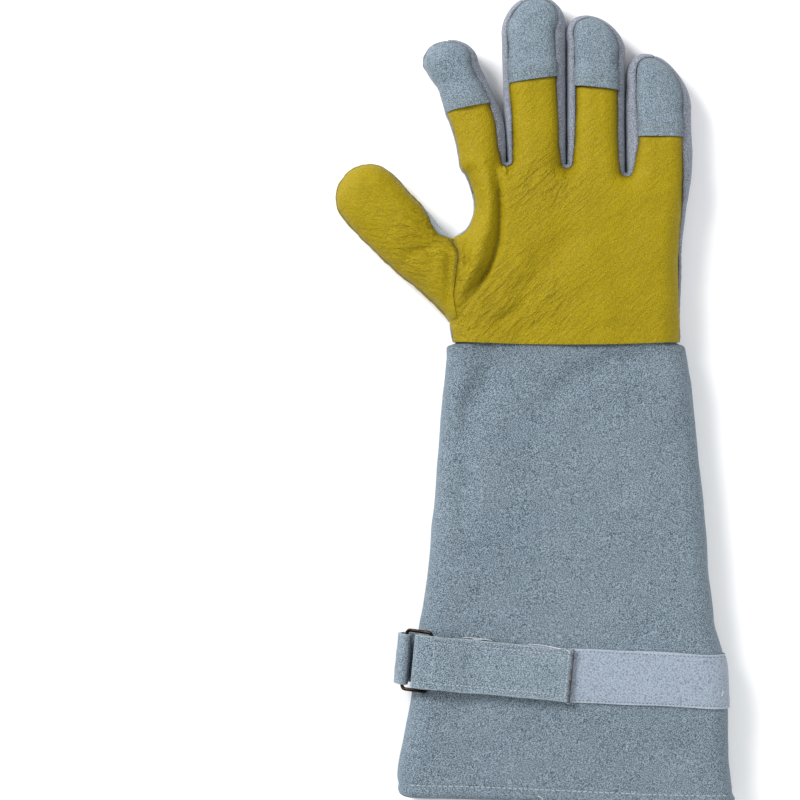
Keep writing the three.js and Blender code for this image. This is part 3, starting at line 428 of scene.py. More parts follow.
add_stretch("wrist", pace(curve([on_hand(s) for s in WRIST_LEFT]), WRIST_ROWS), even)
add_stretch("thumb_low", pace(curve([on_hand(s) for s in THUMB_LOW]), THUMB_ROWS), even)
add_stretch("thumb_cap_left", cap(THUMB, 0), to_tip("thumb_left"))
add_stretch("thumb_cap_right", cap(THUMB, 90), from_tip("thumb_right"))
add_stretch("thumb_high", pace(curve([on_hand(s) for s in THUMB_HIGH]), THUMB_ROWS), even)
outer = curve([on_hand(s) for s in INDEX_OUTER])
little_outer = curve([on_hand(s) for s in LITTLE_OUTER])
bases = [cleft[1][1] * HAND_LENGTH + FINGER_SLIT / 2 for cleft in CLEFTS]
add_stretch("index_side", between(outer, INDEX_OUTER[0][1] * HAND_LENGTH, bases[0], INDEX_ROWS), even)
for i, name in enumerate(NAMES):
    tip = FINGERS[name]
    left_line = outer if i == 0 else finger_side(tip, "left", CLEFTS[i - 1])
    right_line = little_outer if i == 3 else finger_side(tip, "right", CLEFTS[i])
    patch_left, patch_right = (share * HAND_LENGTH for share in tip["patch"])
    left = side_levels(left_line, bases[max(i - 1, 0)], patch_left, tip["left"][1] * HAND_LENGTH)
    right = side_levels(right_line, bases[min(i, 2)], patch_right, tip["right"][1] * HAND_LENGTH)
    add_stretch(name + "_left", left, even if i == 0 else wall(name + "_left"))
    add_stretch(name + "_cap_left", cap(tip, 0), to_tip(name + "_left"))
    add_stretch(name + "_cap_right", cap(tip, 90), from_tip(name + "_right"))
    add_stretch(name + "_right", right[::-1], ulnar if i == 3 else wall(name + "_right"))
    if i < 3:
        foot = (wall(name + "_right"), wall(NAMES[i + 1] + "_left"))
        add_stretch(f"cleft_{i}", cleft_arc(CLEFTS[i]), lambda share, points, foot=foot: mix(
            foot[0](share, points), foot[1](share, points), share
        ))
add_stretch("ulnar", between(little_outer, bases[2], 0, WRIST_ROWS + SEAM_COLUMNS + INDEX_ROWS), ulnar)

along = np.gradient(plan, axis=0)
along /= np.linalg.norm(along, axis=1)[:, None]
for _ in range(2):
    along[1:-1] = (along[:-2] + 2 * along[1:-1] + along[2:]) / 4
along /= np.linalg.norm(along, axis=1)[:, None]
inward = np.column_stack([along[:, 1], -along[:, 0]])
inward[0] = (1, 0)
inward[-1] = (-1, 0)
crotch_run = lengths(plan) - lengths(plan)[stretches["thumb_high"][-1]]
print("outline points:", len(plan))


def pick(name, first=0, last=None):
    at = stretches[name][first:last]
    return {"p": plan[at], "inset": inset[at], "n": inward[at], "run": crotch_run[at]}


def glue(*parts):
    """Several stretches in a row as one."""
    keys = parts[0].keys()
    return {
        key: np.concatenate([part[key][(1 if k else 0):] for k, part in enumerate(parts)])
        for key in keys
    }


def eased(part, end):
    """Moves an end point back along its stretch, so that two pieces that meet there keep a gap."""
    points = part["p"].copy()
    at, near = (0, 1) if end == "first" else (-1, -2)
    step = points[near] - points[at]
    points[at] = points[at] + step * (SEAM_GAP / 2 / np.linalg.norm(step))
    return {**part, "p": points}


# %% [markdown]
# ## The surface of the hand
# Leather that lies over an empty hollow has a few large soft folds. They are drawn as bent lines
# with a width and a depth, and pressed into the dome before anything else, because every seam
# and stitch has to follow them. Numbers below are mm from the middle of the cuff seam.

# %% Folds of the palm and the height of the surface
PALM_FOLDS = [
    # points, width (to the right and to the left of the path), depth: a negative depth is a ridge
    ([(-39.5, 106), (-38.6, 92), (-37.6, 73.6), (-38.8, 56.6), (-42.6, 43.3), (-48.2, 33.6),
      (-54, 25), (-59, 15)], (4.8, 1.9), 4.6),
    ([(-34, 104), (-32, 74), (-34, 54), (-39, 40), (-46, 28), (-54, 16)], 7.5, 1.3),
    ([(-45.5, 104), (-44, 80), (-45.5, 65), (-49.5, 47), (-55, 34), (-61.5, 22), (-63, 12)],
     4.6, -2.0),
    ([(12.9, 66.1), (0.4, 56.6), (-11, 45), (-29.3, 20.4), (-39.6, 6.7)], 8.5, 2.0),
    ([(-20, 26), (-30, 17), (-37, 12), (-42, 6)], 2.8, 1.7),
    ([(-55.6, 60), (-57, 54), (-56.6, 45.9), (-55, 39)], 2.0, 2.2),
    ([(-66, 52), (-65.5, 38), (-66, 27), (-67.5, 18)], 3.6, 3.0),
    ([(-95, 50), (-84, 50.5), (-76, 53.5), (-68, 58)], 1.9, 1.5),
    ([(-97, 38), (-92, 45), (-84, 50.5)], 2.2, 0.8),
    ([(-72, 40), (-78, 52), (-80, 66)], 4, 0.7),
    ([(-24, 104), (-10, 99), (8, 100), (26, 96)], 7, 0.9),
    ([(-30, 92), (-12, 84), (10, 82)], 9, 0.7),
    ([(40, 88), (30, 60), (28, 30), (36, 8)], 12, 0.9),
    ([(-30, 2), (-20, 9), (-8, 11)], 4, 0.8),
    ([(6, 2), (18, 8), (34, 7)], 4, 0.6),
]


def fold_depth(points, folds):
    """How deep the folds are at the points; a pair of widths makes a fold steep on one side."""
    depth = np.zeros(len(points))
    for line, width, deep in folds:
        path = pace(curve(line, 12), 120)
        share = np.linspace(0, 1, len(path))
        fade = ease(np.minimum(share, 1 - share) * 3.5 + 0.1)
        away = np.linalg.norm(points[:, None, :2] - path[None], axis=2)
        near = away.argmin(axis=1)
        close = away[np.arange(len(points)), near]
        if isinstance(width, tuple):
            ahead, beside = np.gradient(path, axis=0)[near], points[:, :2] - path[near]
            turned = ahead[:, 0] * beside[:, 1] - ahead[:, 1] * beside[:, 0]
            share = ease(0.5 + turned / np.linalg.norm(ahead, axis=1))
            depth += deep * fade[near] * bell(close, mix(width[0], width[1], share), 1.7)
        else:
            depth += deep * fade[near] * bell(close, width)
    return depth


def edge_distance(points):
    starts, ends = plan[:-1], plan[1:]
    span = ends - starts
    best = np.empty(len(points))
    batch = 2000
    for k in range(0, len(points), batch):
        p = points[k : k + batch, None]
        share = np.clip(((p - starts) * span).sum(2) / (span * span).sum(1), 0, 1)
        away = np.linalg.norm(p - starts - share[..., None] * span, axis=2)
        best[k : k + batch] = away.min(axis=1)
    beside = np.minimum(points[:, 0] - plan[0, 0], plan[-1, 0] - points[:, 0])
    return np.maximum(np.where(points[:, 1] < 0, beside, best), 0)


def dome(distance, round_off):
    t = np.minimum(distance / round_off, 1)
    return np.sqrt(1 - (1 - t) ** 2)


def crown(points):
    x, y = points[:, 0] / PALM_WIDTH, points[:, 1] / HAND_LENGTH
    hand = mix(FINGER_CROWN, PALM_CROWN, table(CROWN_LINE, y))
    into_hand = ease((x + 0.66) / 0.24)
    below_index = 1 - ease((y - 0.5) / 0.05)
    return mix(hand, mix(THUMB_CROWN, hand, into_hand), below_index)


def lifted(points, side):
    """Points of the plan raised onto the palm (+1) or lowered onto the back (-1)."""
    shape = points.shape[:-1]
    flat = points.reshape(-1, points.shape[-1])[:, :2]
    rise = dome(edge_distance(flat), EDGE_ROUND)
    if side > 0:
        height = REST_HEIGHT + (crown(flat) - fold_depth(flat, PALM_FOLDS)) * rise
    else:
        height = REST_HEIGHT * (1 - rise)
    return np.column_stack([flat, height]).reshape(*shape, 3)


def on_rim(part, turn):
    """Points of the rounded rim at turns above (+) or below (-) the widest line, row by row."""
    turn = np.atleast_2d(turn)
    flat = part["p"] + part["n"] * (EDGE_ROUND * (1 - np.cos(turn)))[..., None]
    shape = flat.shape[:-1]
    points = flat.reshape(-1, 2)
    above = (crown(points) - fold_depth(points, PALM_FOLDS)).reshape(shape)
    rise = np.where(turn > 0, above, REST_HEIGHT)
    return np.concatenate([flat, (REST_HEIGHT + rise * np.sin(turn))[..., None]], axis=2)


def field_turn(part):
    return np.arccos(1 - part["inset"] / EDGE_ROUND)


def field_edge(part, side):
    return on_rim(part, side * (field_turn(part) + SEAM_TURN))[0]


def rim(part, from_turn, to_turn, steps):
    share = np.linspace(0, 1, steps + 1)[:, None]
    return on_rim(part, mix(from_turn[None], to_turn[None], share))


# %% Grids between edges
def patch(bottom, top, left, right, side):
    """A grid between four edges; its inner points are lifted onto the hand."""
    u = np.linspace(0, 1, len(bottom))[None, :, None]
    v = np.linspace(0, 1, len(left))[:, None, None]
    grid = (
        (1 - v) * bottom[None] + v * top[None] + (1 - u) * left[:, None] + u * right[:, None]
        - (1 - u) * (1 - v) * bottom[0] - u * (1 - v) * bottom[-1]
        - (1 - u) * v * top[0] - u * v * top[-1]
    )
    grid[1:-1, 1:-1] = lifted(grid[1:-1, 1:-1], side)
    grid[0], grid[-1], grid[:, 0], grid[:, -1] = bottom, top, left, right
    return grid


def cross_rows(left, right, columns, side):
    """Straight rows between pairs of edge points."""
    share = np.linspace(0, 1, columns + 1)[None, :, None]
    grid = mix(left[:, None], right[:, None], share)
    grid[:, 1:-1] = lifted(grid[:, 1:-1], side)
    return grid


def cap_grid(name, first_row, side):
    """The rounded end of a finger or the thumb: rows that shorten to its apex."""
    left = field_edge(pick(name + "_cap_left"), side)
    right = field_edge(pick(name + "_cap_right"), side)[::-1]
    rows = cross_rows(left[1:-1], right[1:-1], first_row.shape[0] - 1, side)
    apex = np.repeat(left[-1][None], first_row.shape[0], axis=0)
    return np.concatenate([first_row[None], rows, apex[None]])


def finger_sides(name):
    right = pick(name + "_right")
    return pick(name + "_left"), {key: value[::-1] for key, value in right.items()}


def finger_field(name, side, first, last):
    left, right = (field_edge(part, side)[first : last + 1] for part in finger_sides(name))
    return cross_rows(left, right, FINGER_COLUMNS, side)


def seam_line(head, foot, shift, side):
    inner = [on_hand(s) + [shift, 0] for s in THUMB_SEAM]
    line = lifted(pace(curve([head[:2], *inner, foot[:2]]), SEAM_COLUMNS), side)
    line[0], line[-1] = head, foot
    return line


def trunk(side):
    """The palm or the back below the fingers."""
    index_side = eased(pick("index_side"), "first")
    wrist = eased(pick("wrist"), "last")
    index_edge = field_edge(index_side, side)
    wrist_edge = field_edge(wrist, side)
    seam = seam_line(index_edge[0], wrist_edge[-1], SEAM_GAP / 2, side)[::-1]
    base_rows = [finger_field(name, side, 0, 0)[0] for name in NAMES]
    left = np.vstack([wrist_edge[:-1], seam, index_edge[1:-1], base_rows[0][:1]])
    right = field_edge(pick("ulnar"), side)[::-1]
    right[-1] = base_rows[3][-1]
    top = []
    for i, row in enumerate(base_rows):
        top.append(row)
        if i < 3:
            top.append(field_edge(pick(f"cleft_{i}"), side)[1:-1])
    top = np.vstack(top)
    share = np.linspace(0, 1, len(top))
    bottom = np.column_stack([mix(left[0, 0], right[0, 0], share), -SEAM_SAG * np.sin(math.pi * share)])
    bottom = lifted(bottom, side)
    bottom[0], bottom[-1] = left[0], right[0]
    return patch(bottom, top, left, right, side)


# %% [markdown]
# ## The web of the thumb
# Between the thumb and the index finger a narrow grey strip, the gusset, is let into the seam. It
# is widest on the thumb's side of the crotch and runs out to nothing on both sides, so the seams
# beside it are turned apart there by a share of its spread.

# %% Seams of the outer edge
# mm along the outline from the crotch, share of the spread
WEB = [(-27, 0), (-21, 0.4), (-14, 1.55), (-7, 1.5), (0, 0.6), (7, 0.25), (28, 0.13), (36, 0)]


def upper_seam(part):
    return EDGE_SEAM + WEB_SPREAD * table(WEB, part["run"]) + SEAM_TURN


def lower_seam(part):
    return EDGE_SEAM - 2 * WEB_SPREAD * table(WEB, part["run"]) - SEAM_TURN


def panel_rim(part, side):
    """The rounded rim of a panel, from its field out to the seam on the outline."""
    start = side * (field_turn(part) + SEAM_TURN)
    end = upper_seam(part) if side > 0 else lower_seam(part)
    return sheet(rim(part, start, end, RIM_STEPS), flip=side < 0)


# %% [markdown]
# ## Sewn edges
# A turned seam pulls the leather in: both pieces roll down into a narrow groove, and between the
# stitches the leather puckers. It could be sculpted, but a rule gives every seam the same hand:
# each point sinks by its distance to the nearest sewn edge, a little unevenly along the seam.

# %% Sinking the sewn edges
def sewn_edges(piece, raw=None):
    """The distance from each point to the nearest sewn edge, and the place on that edge."""
    mesh = piece.data
    edge_of = np.empty(len(mesh.loops), dtype=int)
    mesh.loops.foreach_get("edge_index", edge_of)
    open_edges = np.flatnonzero(np.bincount(edge_of, minlength=len(mesh.edges)) == 1)
    ends = np.empty(len(mesh.edges) * 2, dtype=int)
    mesh.edges.foreach_get("vertices", ends)
    ends = ends.reshape(-1, 2)[open_edges]
    points = read_points(piece)
    places = np.vstack([points[ends[:, 0]], points[ends[:, 1]], points[ends].mean(axis=1)])
    if raw is not None:
        places = places[~raw(places)]
    tree = KDTree(len(places))
    for k, place in enumerate(places):
        tree.insert(place, k)
    tree.balance()
    found = [tree.find(point) for point in points]
    nearest = np.array([place for place, _, _ in found])
    return np.array([away for _, _, away in found]), nearest


def seam_strength(places):
    """Seams draw in fully, apart from the lower half of the thumb's seam, where they soften."""
    on_thumb_seam = (np.abs(places[:, 0] + 61.5) < 5.5) & (places[:, 1] < 42) & (places[:, 2] > 14)
    return np.where(on_thumb_seam, mix(0.16, 1, ease((places[:, 1] - 24) / 16)), 1)


def sew(piece, depth=1.1, width=2.3, pucker=0.28, raw=None, seed=1):
    """Sinks a piece along its sewn edges and puckers it beside them."""
    away, nearest = sewn_edges(piece, raw)
    points, normals = read_points(piece), read_normals(piece)
    roll = depth * (1 + 0.25 * waves(nearest, 14, seed)) * bell(away, width)
    roll *= mix(0.5, 1, ease((nearest[:, 2] - REST_HEIGHT - 2) / 7))
    drawn = seam_strength(nearest)
    roll *= drawn
    fade = ease(1 - away / 7)
    roll += pucker * waves(nearest, 3.6, seed + 1) * fade * (1 - bell(away, 1.2))
    upright = ease((normals[:, 2] - 0.3) / 0.3)[:, None]
    points = points - mix(normals, np.array([0, 0, 1.0]), upright) * roll[:, None]
    points[:, 2] = np.maximum(points[:, 2], 0)
    move_points(piece, points)
    paint(piece, "seam", drawn * bell(away, 1.3, 1.3))
    return away


# %% Where the outline stands in the frame
CUFF_LENGTH = 260
HEM_WIDTH = 187
CUFF_ROUND = 13
CUFF_REST = 12
CUFF_CROWN = 14
LEFT_FLARE = 0.53
# share of the length, flare of the left edge, flare of the right edge, crown
CUFF_SECTIONS = np.array([
    (0, 0.1, 0.07, 0.9), (0.022, 0.1, 0.1, 0.92), (0.08, 0.13, 0.2, 1), (0.2, 0.21, 0.33, 0.96),
    (0.35, 0.34, 0.46, 0.92), (0.5, 0.45, 0.57, 0.92), (0.61, 0.565, 0.68, 0.94),
    (0.64, 0.595, 0.76, 0.945), (0.67, 0.627, 0.85, 0.955), (0.7, 0.662, 0.905, 0.965),
    (0.74, 0.71, 0.935, 0.98), (0.8, 0.78, 0.96, 1), (0.9, 0.92, 0.99, 1.06),
    (0.958, 1, 1.04, 1.1), (1, 0.96, 1.12, 1.1),
])


def smooth_table(column, at):
    """Reads a column of the cuff's sections with soft corners between the rows."""
    total = 0
    for shift in (-0.012, -0.006, 0, 0.006, 0.012):
        total = total + np.interp(at + shift, CUFF_SECTIONS[:, 0], CUFF_SECTIONS[:, column])
    return total / 5


def cuff_at(y):
    t = np.clip(-y / CUFF_LENGTH, 0, 1)
    spread = HEM_WIDTH - PALM_WIDTH
    left = WRIST_LEFT[0][0] * PALM_WIDTH - spread * LEFT_FLARE * smooth_table(1, t)
    right = LITTLE_OUTER[-1][0] * PALM_WIDTH + spread * (1 - LEFT_FLARE) * smooth_table(2, t)
    return left, right, CUFF_CROWN * smooth_table(3, t)


hem_right = cuff_at(np.array([-CUFF_LENGTH]))[1][0]
SHIFT = (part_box("cuff")[1][0] / MM - hem_right, cad_high[1] / MM - HAND_LENGTH)
print("outline is moved by mm:", [round(v, 2) for v in SHIFT])

# %% [markdown]
# ## Palm
# The palm is one piece of yellow grain leather from the cuff to the fingertip patches. On the
# real glove it is the stiffest surface and shows broad, soft folds where the hollow gives way, and
# a fan of short wrinkles at the thumb's root. Its lower edge is cut raw and lies on the cuff.

# %% The palm panel
PALM_WALL = 1.4
SUEDE_WALL = 1.3
LAP_RAISE = 1.1
LAP_SINK = 0.5
WRIST_HALF = 64.2


def patch_height(name, points):
    """How far above a patch's lower edge the points lie, along the finger."""
    tip = FINGERS[name]
    left = on_hand((tip["left"][0], tip["patch"][0]))
    right = on_hand((tip["right"][0], tip["patch"][1]))
    across = (right - left) / np.linalg.norm(right - left)
    up = np.array([-across[1], across[0]])
    return (points[:, :2] - left) @ up


def soft_body(piece, amount, seed, lengths_mm=(46, 19)):
    """Broad unevenness of leather that nothing fills."""
    points = read_points(piece)
    long, short = lengths_mm
    lift = amount * (waves(points, long, seed) + 0.45 * waves(points, short, seed + 1))
    push_out(piece, lift * ease((points[:, 2] - 3) / 8))


def wrinkle(piece, deep, length, mask, seed, turn=0.0, stretch=1.0):
    """Narrow wandering wrinkles: the valleys lie where soft waves pass through nothing."""
    points, normals = read_points(piece), read_normals(piece)
    cos, sin = math.cos(turn), math.sin(turn)
    along = points[:, 0] * cos + points[:, 1] * sin
    across = points[:, 1] * cos - points[:, 0] * sin
    bent = 0.35 * length * waves(points[:, :2], 12, seed)[:, None]
    field = np.column_stack([along / stretch, across]) + bent
    valley = bell(waves(field, length, seed + 1), 0.5)
    sink = deep * valley * mask * (0.6 + 0.4 * waves(points, 17, seed + 2))
    move_points(piece, points - normals * sink[:, None])


def lay_on_glove(piece):
    """Moves a piece from the outline's own place to its place in the frame."""
    move_points(piece, read_points(piece) + np.array([*SHIFT, 0]))
    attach(piece, "root")
    return piece


lap_level = FINGER_ROWS + LAP_ROWS
sheets = [sheet(trunk(1))]
for name in NAMES:
    sheets.append(sheet(finger_field(name, 1, 0, lap_level)))
sheets.append(panel_rim(eased(pick("wrist"), "last"), 1))
sheets.append(panel_rim(eased(pick("index_side"), "first"), 1))
sheets.append(panel_rim(pick("index_left", 0, lap_level + 1), 1))
palm = join("palm", sheets)


def across_finger(name, points, margin):
    """Which points lie between the sides of a finger, or up to this many mm beyond them."""
    left, right = (on_hand(FINGERS[name][key])[0] for key in ("left", "right"))
    return (points[:, 0] > left - margin) & (points[:, 0] < right + margin)


def sink_under_patches(piece):
    points, normals = read_points(piece), read_normals(piece)
    for name in NAMES:
        mine = across_finger(name, points, 3)
        mine &= points[:, 1] > FINGERS[name]["patch"][0] * HAND_LENGTH - 12
        sink = LAP_SINK * ease((patch_height(name, points) + 1.2) / 1.6) * mine
        points = points - normals * sink[:, None]
    move_points(piece, points)


def seam_ends(places):
    """Where the thumb's seam runs out over the edge it isn't drawn in."""
    foot, crotch = on_hand(THUMB_LOW[0]), on_hand(THUMB_HIGH[-1])
    ends = (foot + [1, 0], crotch - [0, 1])
    close = [np.linalg.norm(places[:, :2] - end, axis=1) < 5.4 for end in ends]
    along_seam = np.abs(places[:, 2] - REST_HEIGHT) < 9
    return (close[0] | close[1]) & along_seam


def wrist_raw(places):
    """The cut lower edge of the hand, between its two sides."""
    return (places[:, 1] < 0.4) & (np.abs(places[:, 0]) < WRIST_HALF)


def palm_raw(places):
    """The cut edges of the palm: on the cuff, and under the fingertip patches."""
    raw = wrist_raw(places) | seam_ends(places)
    for name in NAMES:
        at_lap = np.abs(patch_height(name, places) - PATCH_LAP) < 0.8
        raw |= across_finger(name, places, 0) & at_lap & (places[:, 2] > 14)
    return raw


def paint_shadow(piece):
    """The dark line right under each patch's cut edge, and in the bottom of the crease."""
    points = read_points(piece)
    shadow = np.zeros(len(points))
    for name in NAMES:
        mine = across_finger(name, points, 3) & (points[:, 1] > 100)
        shadow += mine * ease(1 + (patch_height(name, points) - 0.1) / 1.5)
    layer = piece.data.attributes["seam"]
    values = np.empty(len(points), dtype=np.float32)
    layer.data.foreach_get("value", values)
    bottom = 0.6 * ease((fold_depth(points, PALM_FOLDS[:1]) - 2.8) / 1.8) * (points[:, 2] > 12)
    shadow = np.maximum(shadow, bottom)
    layer.data.foreach_set("value", np.maximum(values, np.clip(shadow, 0, 1)).astype(np.float32))


soft_body(palm, 0.6, 11)
palm_away = sew(palm, raw=palm_raw, seed=21, pucker=0.16)
paint_shadow(palm)
sink_under_patches(palm)
points = read_points(palm)
root = around(points, [-52, 24], [20, 26])
knuckles = around(points, [-14, 88], [24, 14])
heel = around(points, [-18, 22], [22, 16])
creased = np.clip(root + 0.8 * knuckles + 0.8 * heel, 0, 1)
wrinkle(palm, 0.16, 7.5, creased * ease(palm_away / 3), 23, turn=0.75, stretch=4)
paint(palm, "crease", np.clip(0.3 + creased, 0, 1))
print("palm points:", len(points))
finish_leather(lay_on_glove(palm), PALM_WALL)
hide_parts("palm_panel")

# %% [markdown]
# ## Back of the hand
# The back is grey suede. It wraps up round the outer side of the little finger, where it shows as
# a grey border beside the palm, and it is flat where the glove rests.

# %% The back panel
shoulder_level = FINGER_ROWS + LAP_ROWS + UPPER_ROWS
sheets = [sheet(trunk(-1), flip=True)]
for name in NAMES:
    field = finger_field(name, -1, 0, shoulder_level)
    sheets.append(sheet(field, flip=True))
    sheets.append(sheet(cap_grid(name, field[-1], -1), flip=True))
sheets.append(panel_rim(eased(pick("wrist"), "last"), -1))
sheets.append(panel_rim(eased(pick("index_side"), "first"), -1))
sheets.append(panel_rim(pick("index_left"), -1))
sheets.append(panel_rim(pick("index_cap_left"), -1))
for stretch in ("little_cap_right", "little_right", "ulnar"):
    part = pick(stretch)
    wrap = rim(part, -field_turn(part) - SEAM_TURN, field_turn(part) - SEAM_TURN, WRAP_STEPS)
    sheets.append(sheet(wrap, flip=True))
back = join("hand_back", sheets)

soft_body(back, 0.4, 31, (30, 12))
sew(back, raw=wrist_raw, seed=41)
finish_leather(lay_on_glove(back), SUEDE_WALL)
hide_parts("back_panel")
print("back points:", len(back.data.vertices))

# %% [markdown]
# ## Fingertip patches
# A second layer of suede covers each fingertip and laps 7 mm over the palm leather. Its lower edge
# is cut, not turned, so the leather's thickness shows there as a small step with a shadow.

# %% The four patches
def raise_patch(piece, name):
    """Raises a patch over the palm's edge, with a dip along each of its two rows of stitches."""
    up = patch_height(name, read_points(piece))
    dips = 0.25 * bell(up - 2.8, 0.7) + 0.2 * bell(up - 5.4, 0.7)
    push_out(piece, LAP_RAISE * (1 - ease((up - PATCH_LAP) / 6)) - dips)


patches = {}
for i, name in enumerate(NAMES):
    field = finger_field(name, 1, FINGER_ROWS, shoulder_level)
    sheets = [sheet(field), sheet(cap_grid(name, field[-1], 1))]
    if name == "index":
        sheets.append(panel_rim(pick("index_left", FINGER_ROWS), 1))
        sheets.append(panel_rim(pick("index_cap_left"), 1))
    piece = join("fingertip_" + name, sheets)

    def patch_raw(places, name=name):
        return (patch_height(name, places) < 0.5) & (places[:, 2] > 15)

    soft_body(piece, 0.35, 51 + i, (18, 8))
    sew(piece, raw=patch_raw, seed=61 + i, depth=0.9, width=2.2)
    raise_patch(piece, name)
    finish_leather(lay_on_glove(piece), SUEDE_WALL - 0.1, bevel=0.3)
    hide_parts("tip_patch_" + name)
    patches[name] = piece
print("patches:", {name: len(piece.data.vertices) for name, piece in patches.items()})

# %% [markdown]
# ## Finger sides
# Between two fingers one narrow strip, the fourchette, runs from a fingertip down to the cleft and
# up the next finger. From above it shows as the grey wall on both sides of each yellow finger.

# %% Three fourchettes
finger_sides_made = []
for i in range(3):
    one, two = NAMES[i], NAMES[i + 1]
    part = glue(
        pick(one + "_cap_right"), pick(one + "_right"), pick(f"cleft_{i}"), pick(two + "_left"),
        pick(two + "_cap_left"),
    )
    part = eased(eased(part, "first"), "last")
    turn = field_turn(part) - SEAM_TURN
    piece = join(f"finger_side_{one}_{two}", [sheet(rim(part, turn, -turn, WRAP_STEPS))])
    ends = part["p"][[0, -1]]

    def strip_ends(places, ends=ends):
        away = np.linalg.norm(places[:, None, :2] - ends[None], axis=2).min(axis=1)
        return (away < 1.6) & (np.abs(places[:, 2] - 11) < 6)

    push_out(piece, 0.25 + 0.1 * waves(read_points(piece), 16, 75 + i))
    sew(piece, seed=71 + i, depth=0.9, width=1.8, raw=strip_ends, pucker=0.2)
    finish_leather(lay_on_glove(piece), SUEDE_WALL)
    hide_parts(f"fourchette_{one}_{two}")
    finger_sides_made.append(piece)
    print(piece.name, len(piece.data.vertices))

# %% [markdown]
# ## Thumb
# The thumb is cut from the same yellow leather as two halves, set into the palm with a seam. Nothing
# fills it, so its root is drawn into fine wrinkles that run towards the seam.

# %% Both halves of the thumb
thumb = []
for name, side in (("thumb_front", 1), ("thumb_back", -1)):
    low = eased(pick("thumb_low"), "first")
    high = eased(pick("thumb_high"), "last")
    left, right = field_edge(low, side), field_edge(high, side)[::-1]
    bottom = seam_line(right[0], left[0], -SEAM_GAP / 2, side)[::-1]
    top = cross_rows(left[-1:], right[-1:], SEAM_COLUMNS, side)[0]
    sheets = [
        sheet(patch(bottom, top, left, right, side), flip=side < 0),
        sheet(cap_grid("thumb", top, side), flip=side < 0),
    ]
    for part in (low, pick("thumb_cap_left"), pick("thumb_cap_right"), high):
        sheets.append(panel_rim(part, side))
    piece = join("soft_" + name, sheets)
    thumb.append(piece)
    soft_body(piece, 0.4, 81, (26, 11))
    sew(piece, seed=83, pucker=0.34, raw=seam_ends)
    points = read_points(piece)
    root = around(points, [-80, 58], [20, 20])
    wrinkle(piece, 0.55, 5.2, root * (points[:, 2] > 4), 85, turn=-0.15, stretch=4)
    paint(piece, "crease", np.clip(0.3 + root, 0, 1))
    finish_leather(lay_on_glove(piece), PALM_WALL)
    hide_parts(name)
    print(name, len(piece.data.vertices))

# %% The gusset
part = glue(pick("thumb_high"), pick("index_side"))
wide = table(WEB, part["run"]) > 0.1
part = {key: value[wide] for key, value in part.items()}
band = rim(part, upper_seam(part) - 2.5 * SEAM_TURN, lower_seam(part) + 2.5 * SEAM_TURN, 8)
gusset = join("web_gusset", [sheet(band)])
sew(gusset, seed=91, depth=0.5, width=1.2, pucker=0.12)
finish_leather(lay_on_glove(gusset), SUEDE_WALL)
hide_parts("thumb_gusset")
print("gusset points:", len(gusset.data.vertices))

# %% [markdown]
# ## Cuff
# The cuff is one wide piece of suede, closed by a seam on the outer side and turned in at the
# hem. It is a tapering, flattened tube that bulges out as soon as it leaves the hand, so each
# section goes over from the hand's own section, tucked inside the palm, to the cuff's.

# %% Sections of the cuff
CUFF_WALL = 1.6
FOLD_RADIUS = 1.9
HEM_RISE = 6
HEM_STITCH = 6.7
ARC_STEPS = 22
ACROSS_STEPS = 70
# Points, width, depth: dents press the cuff's section, folds are laid into its surface.
CUFF_DENTS = [
    ([(-50.4, -0.6), (-47, -23), (-56.6, -39), (-62, -62)], 9, 1.9),
    ([(8, -70), (22, -112), (40, -150)], 24, 0.9),
    ([(-30, -60), (-36, -110), (-52, -160)], 20, 0.7),
    ([(60, -20), (66, -60), (72, -110)], 12, 0.8),
    ([(-20, -6), (4, -9), (30, -7)], 5, -0.5),
]


def cuff_front(x, y):
    left, right, rise = cuff_at(y)
    round_off = dome(np.minimum(x - left, right - x).clip(0), CUFF_ROUND)
    flat = np.column_stack([x.ravel(), y.ravel()])
    press = fold_depth(flat, CUFF_DENTS).reshape(x.shape)
    return CUFF_REST + (rise - press) * round_off


def hem_lift(x, y):
    """The thumb-side corner of the hem sits a little higher than the rest."""
    return HEM_RISE * ease(0.5 - x / HEM_WIDTH) * ease(-y / CUFF_LENGTH * 4 - 3)


def cuff_edge(y, hand, turn):
    left, right, _ = cuff_at(y)
    x = (right if hand > 0 else left) - hand * CUFF_ROUND * (1 - np.cos(turn))
    z = np.where(turn > 0, cuff_front(x, y), CUFF_REST * (1 + np.sin(turn)))
    return x, z


COLUMNS = [("turn", -1, t) for t in np.linspace(-90, 90, ARC_STEPS + 1)]
COLUMNS += [("front", 0, s) for s in np.linspace(0, 1, ACROSS_STEPS + 1)[1:-1]]
COLUMNS += [("turn", 1, t) for t in np.linspace(90, -90, ARC_STEPS + 1)]
COLUMNS += [("back", 0, s) for s in np.linspace(1, 0, ACROSS_STEPS + 1)[1:]]


def column_points(columns, y):
    """Points of the cuff at heights y (rows by columns) for a list of columns."""
    grid = np.empty((*y.shape, 3))
    for k, (kind, hand, value) in enumerate(columns):
        level = y[:, k]
        if kind == "turn":
            x, z = cuff_edge(level, hand, np.full(len(level), value * DEGREE))
        else:
            left, right, _ = cuff_at(level)
            x = mix(left + CUFF_ROUND, right - CUFF_ROUND, value)
            z = cuff_front(x, level) if kind == "front" else np.zeros(len(level))
        grid[:, k] = np.column_stack([x, level + hem_lift(x, level), z])
    return grid


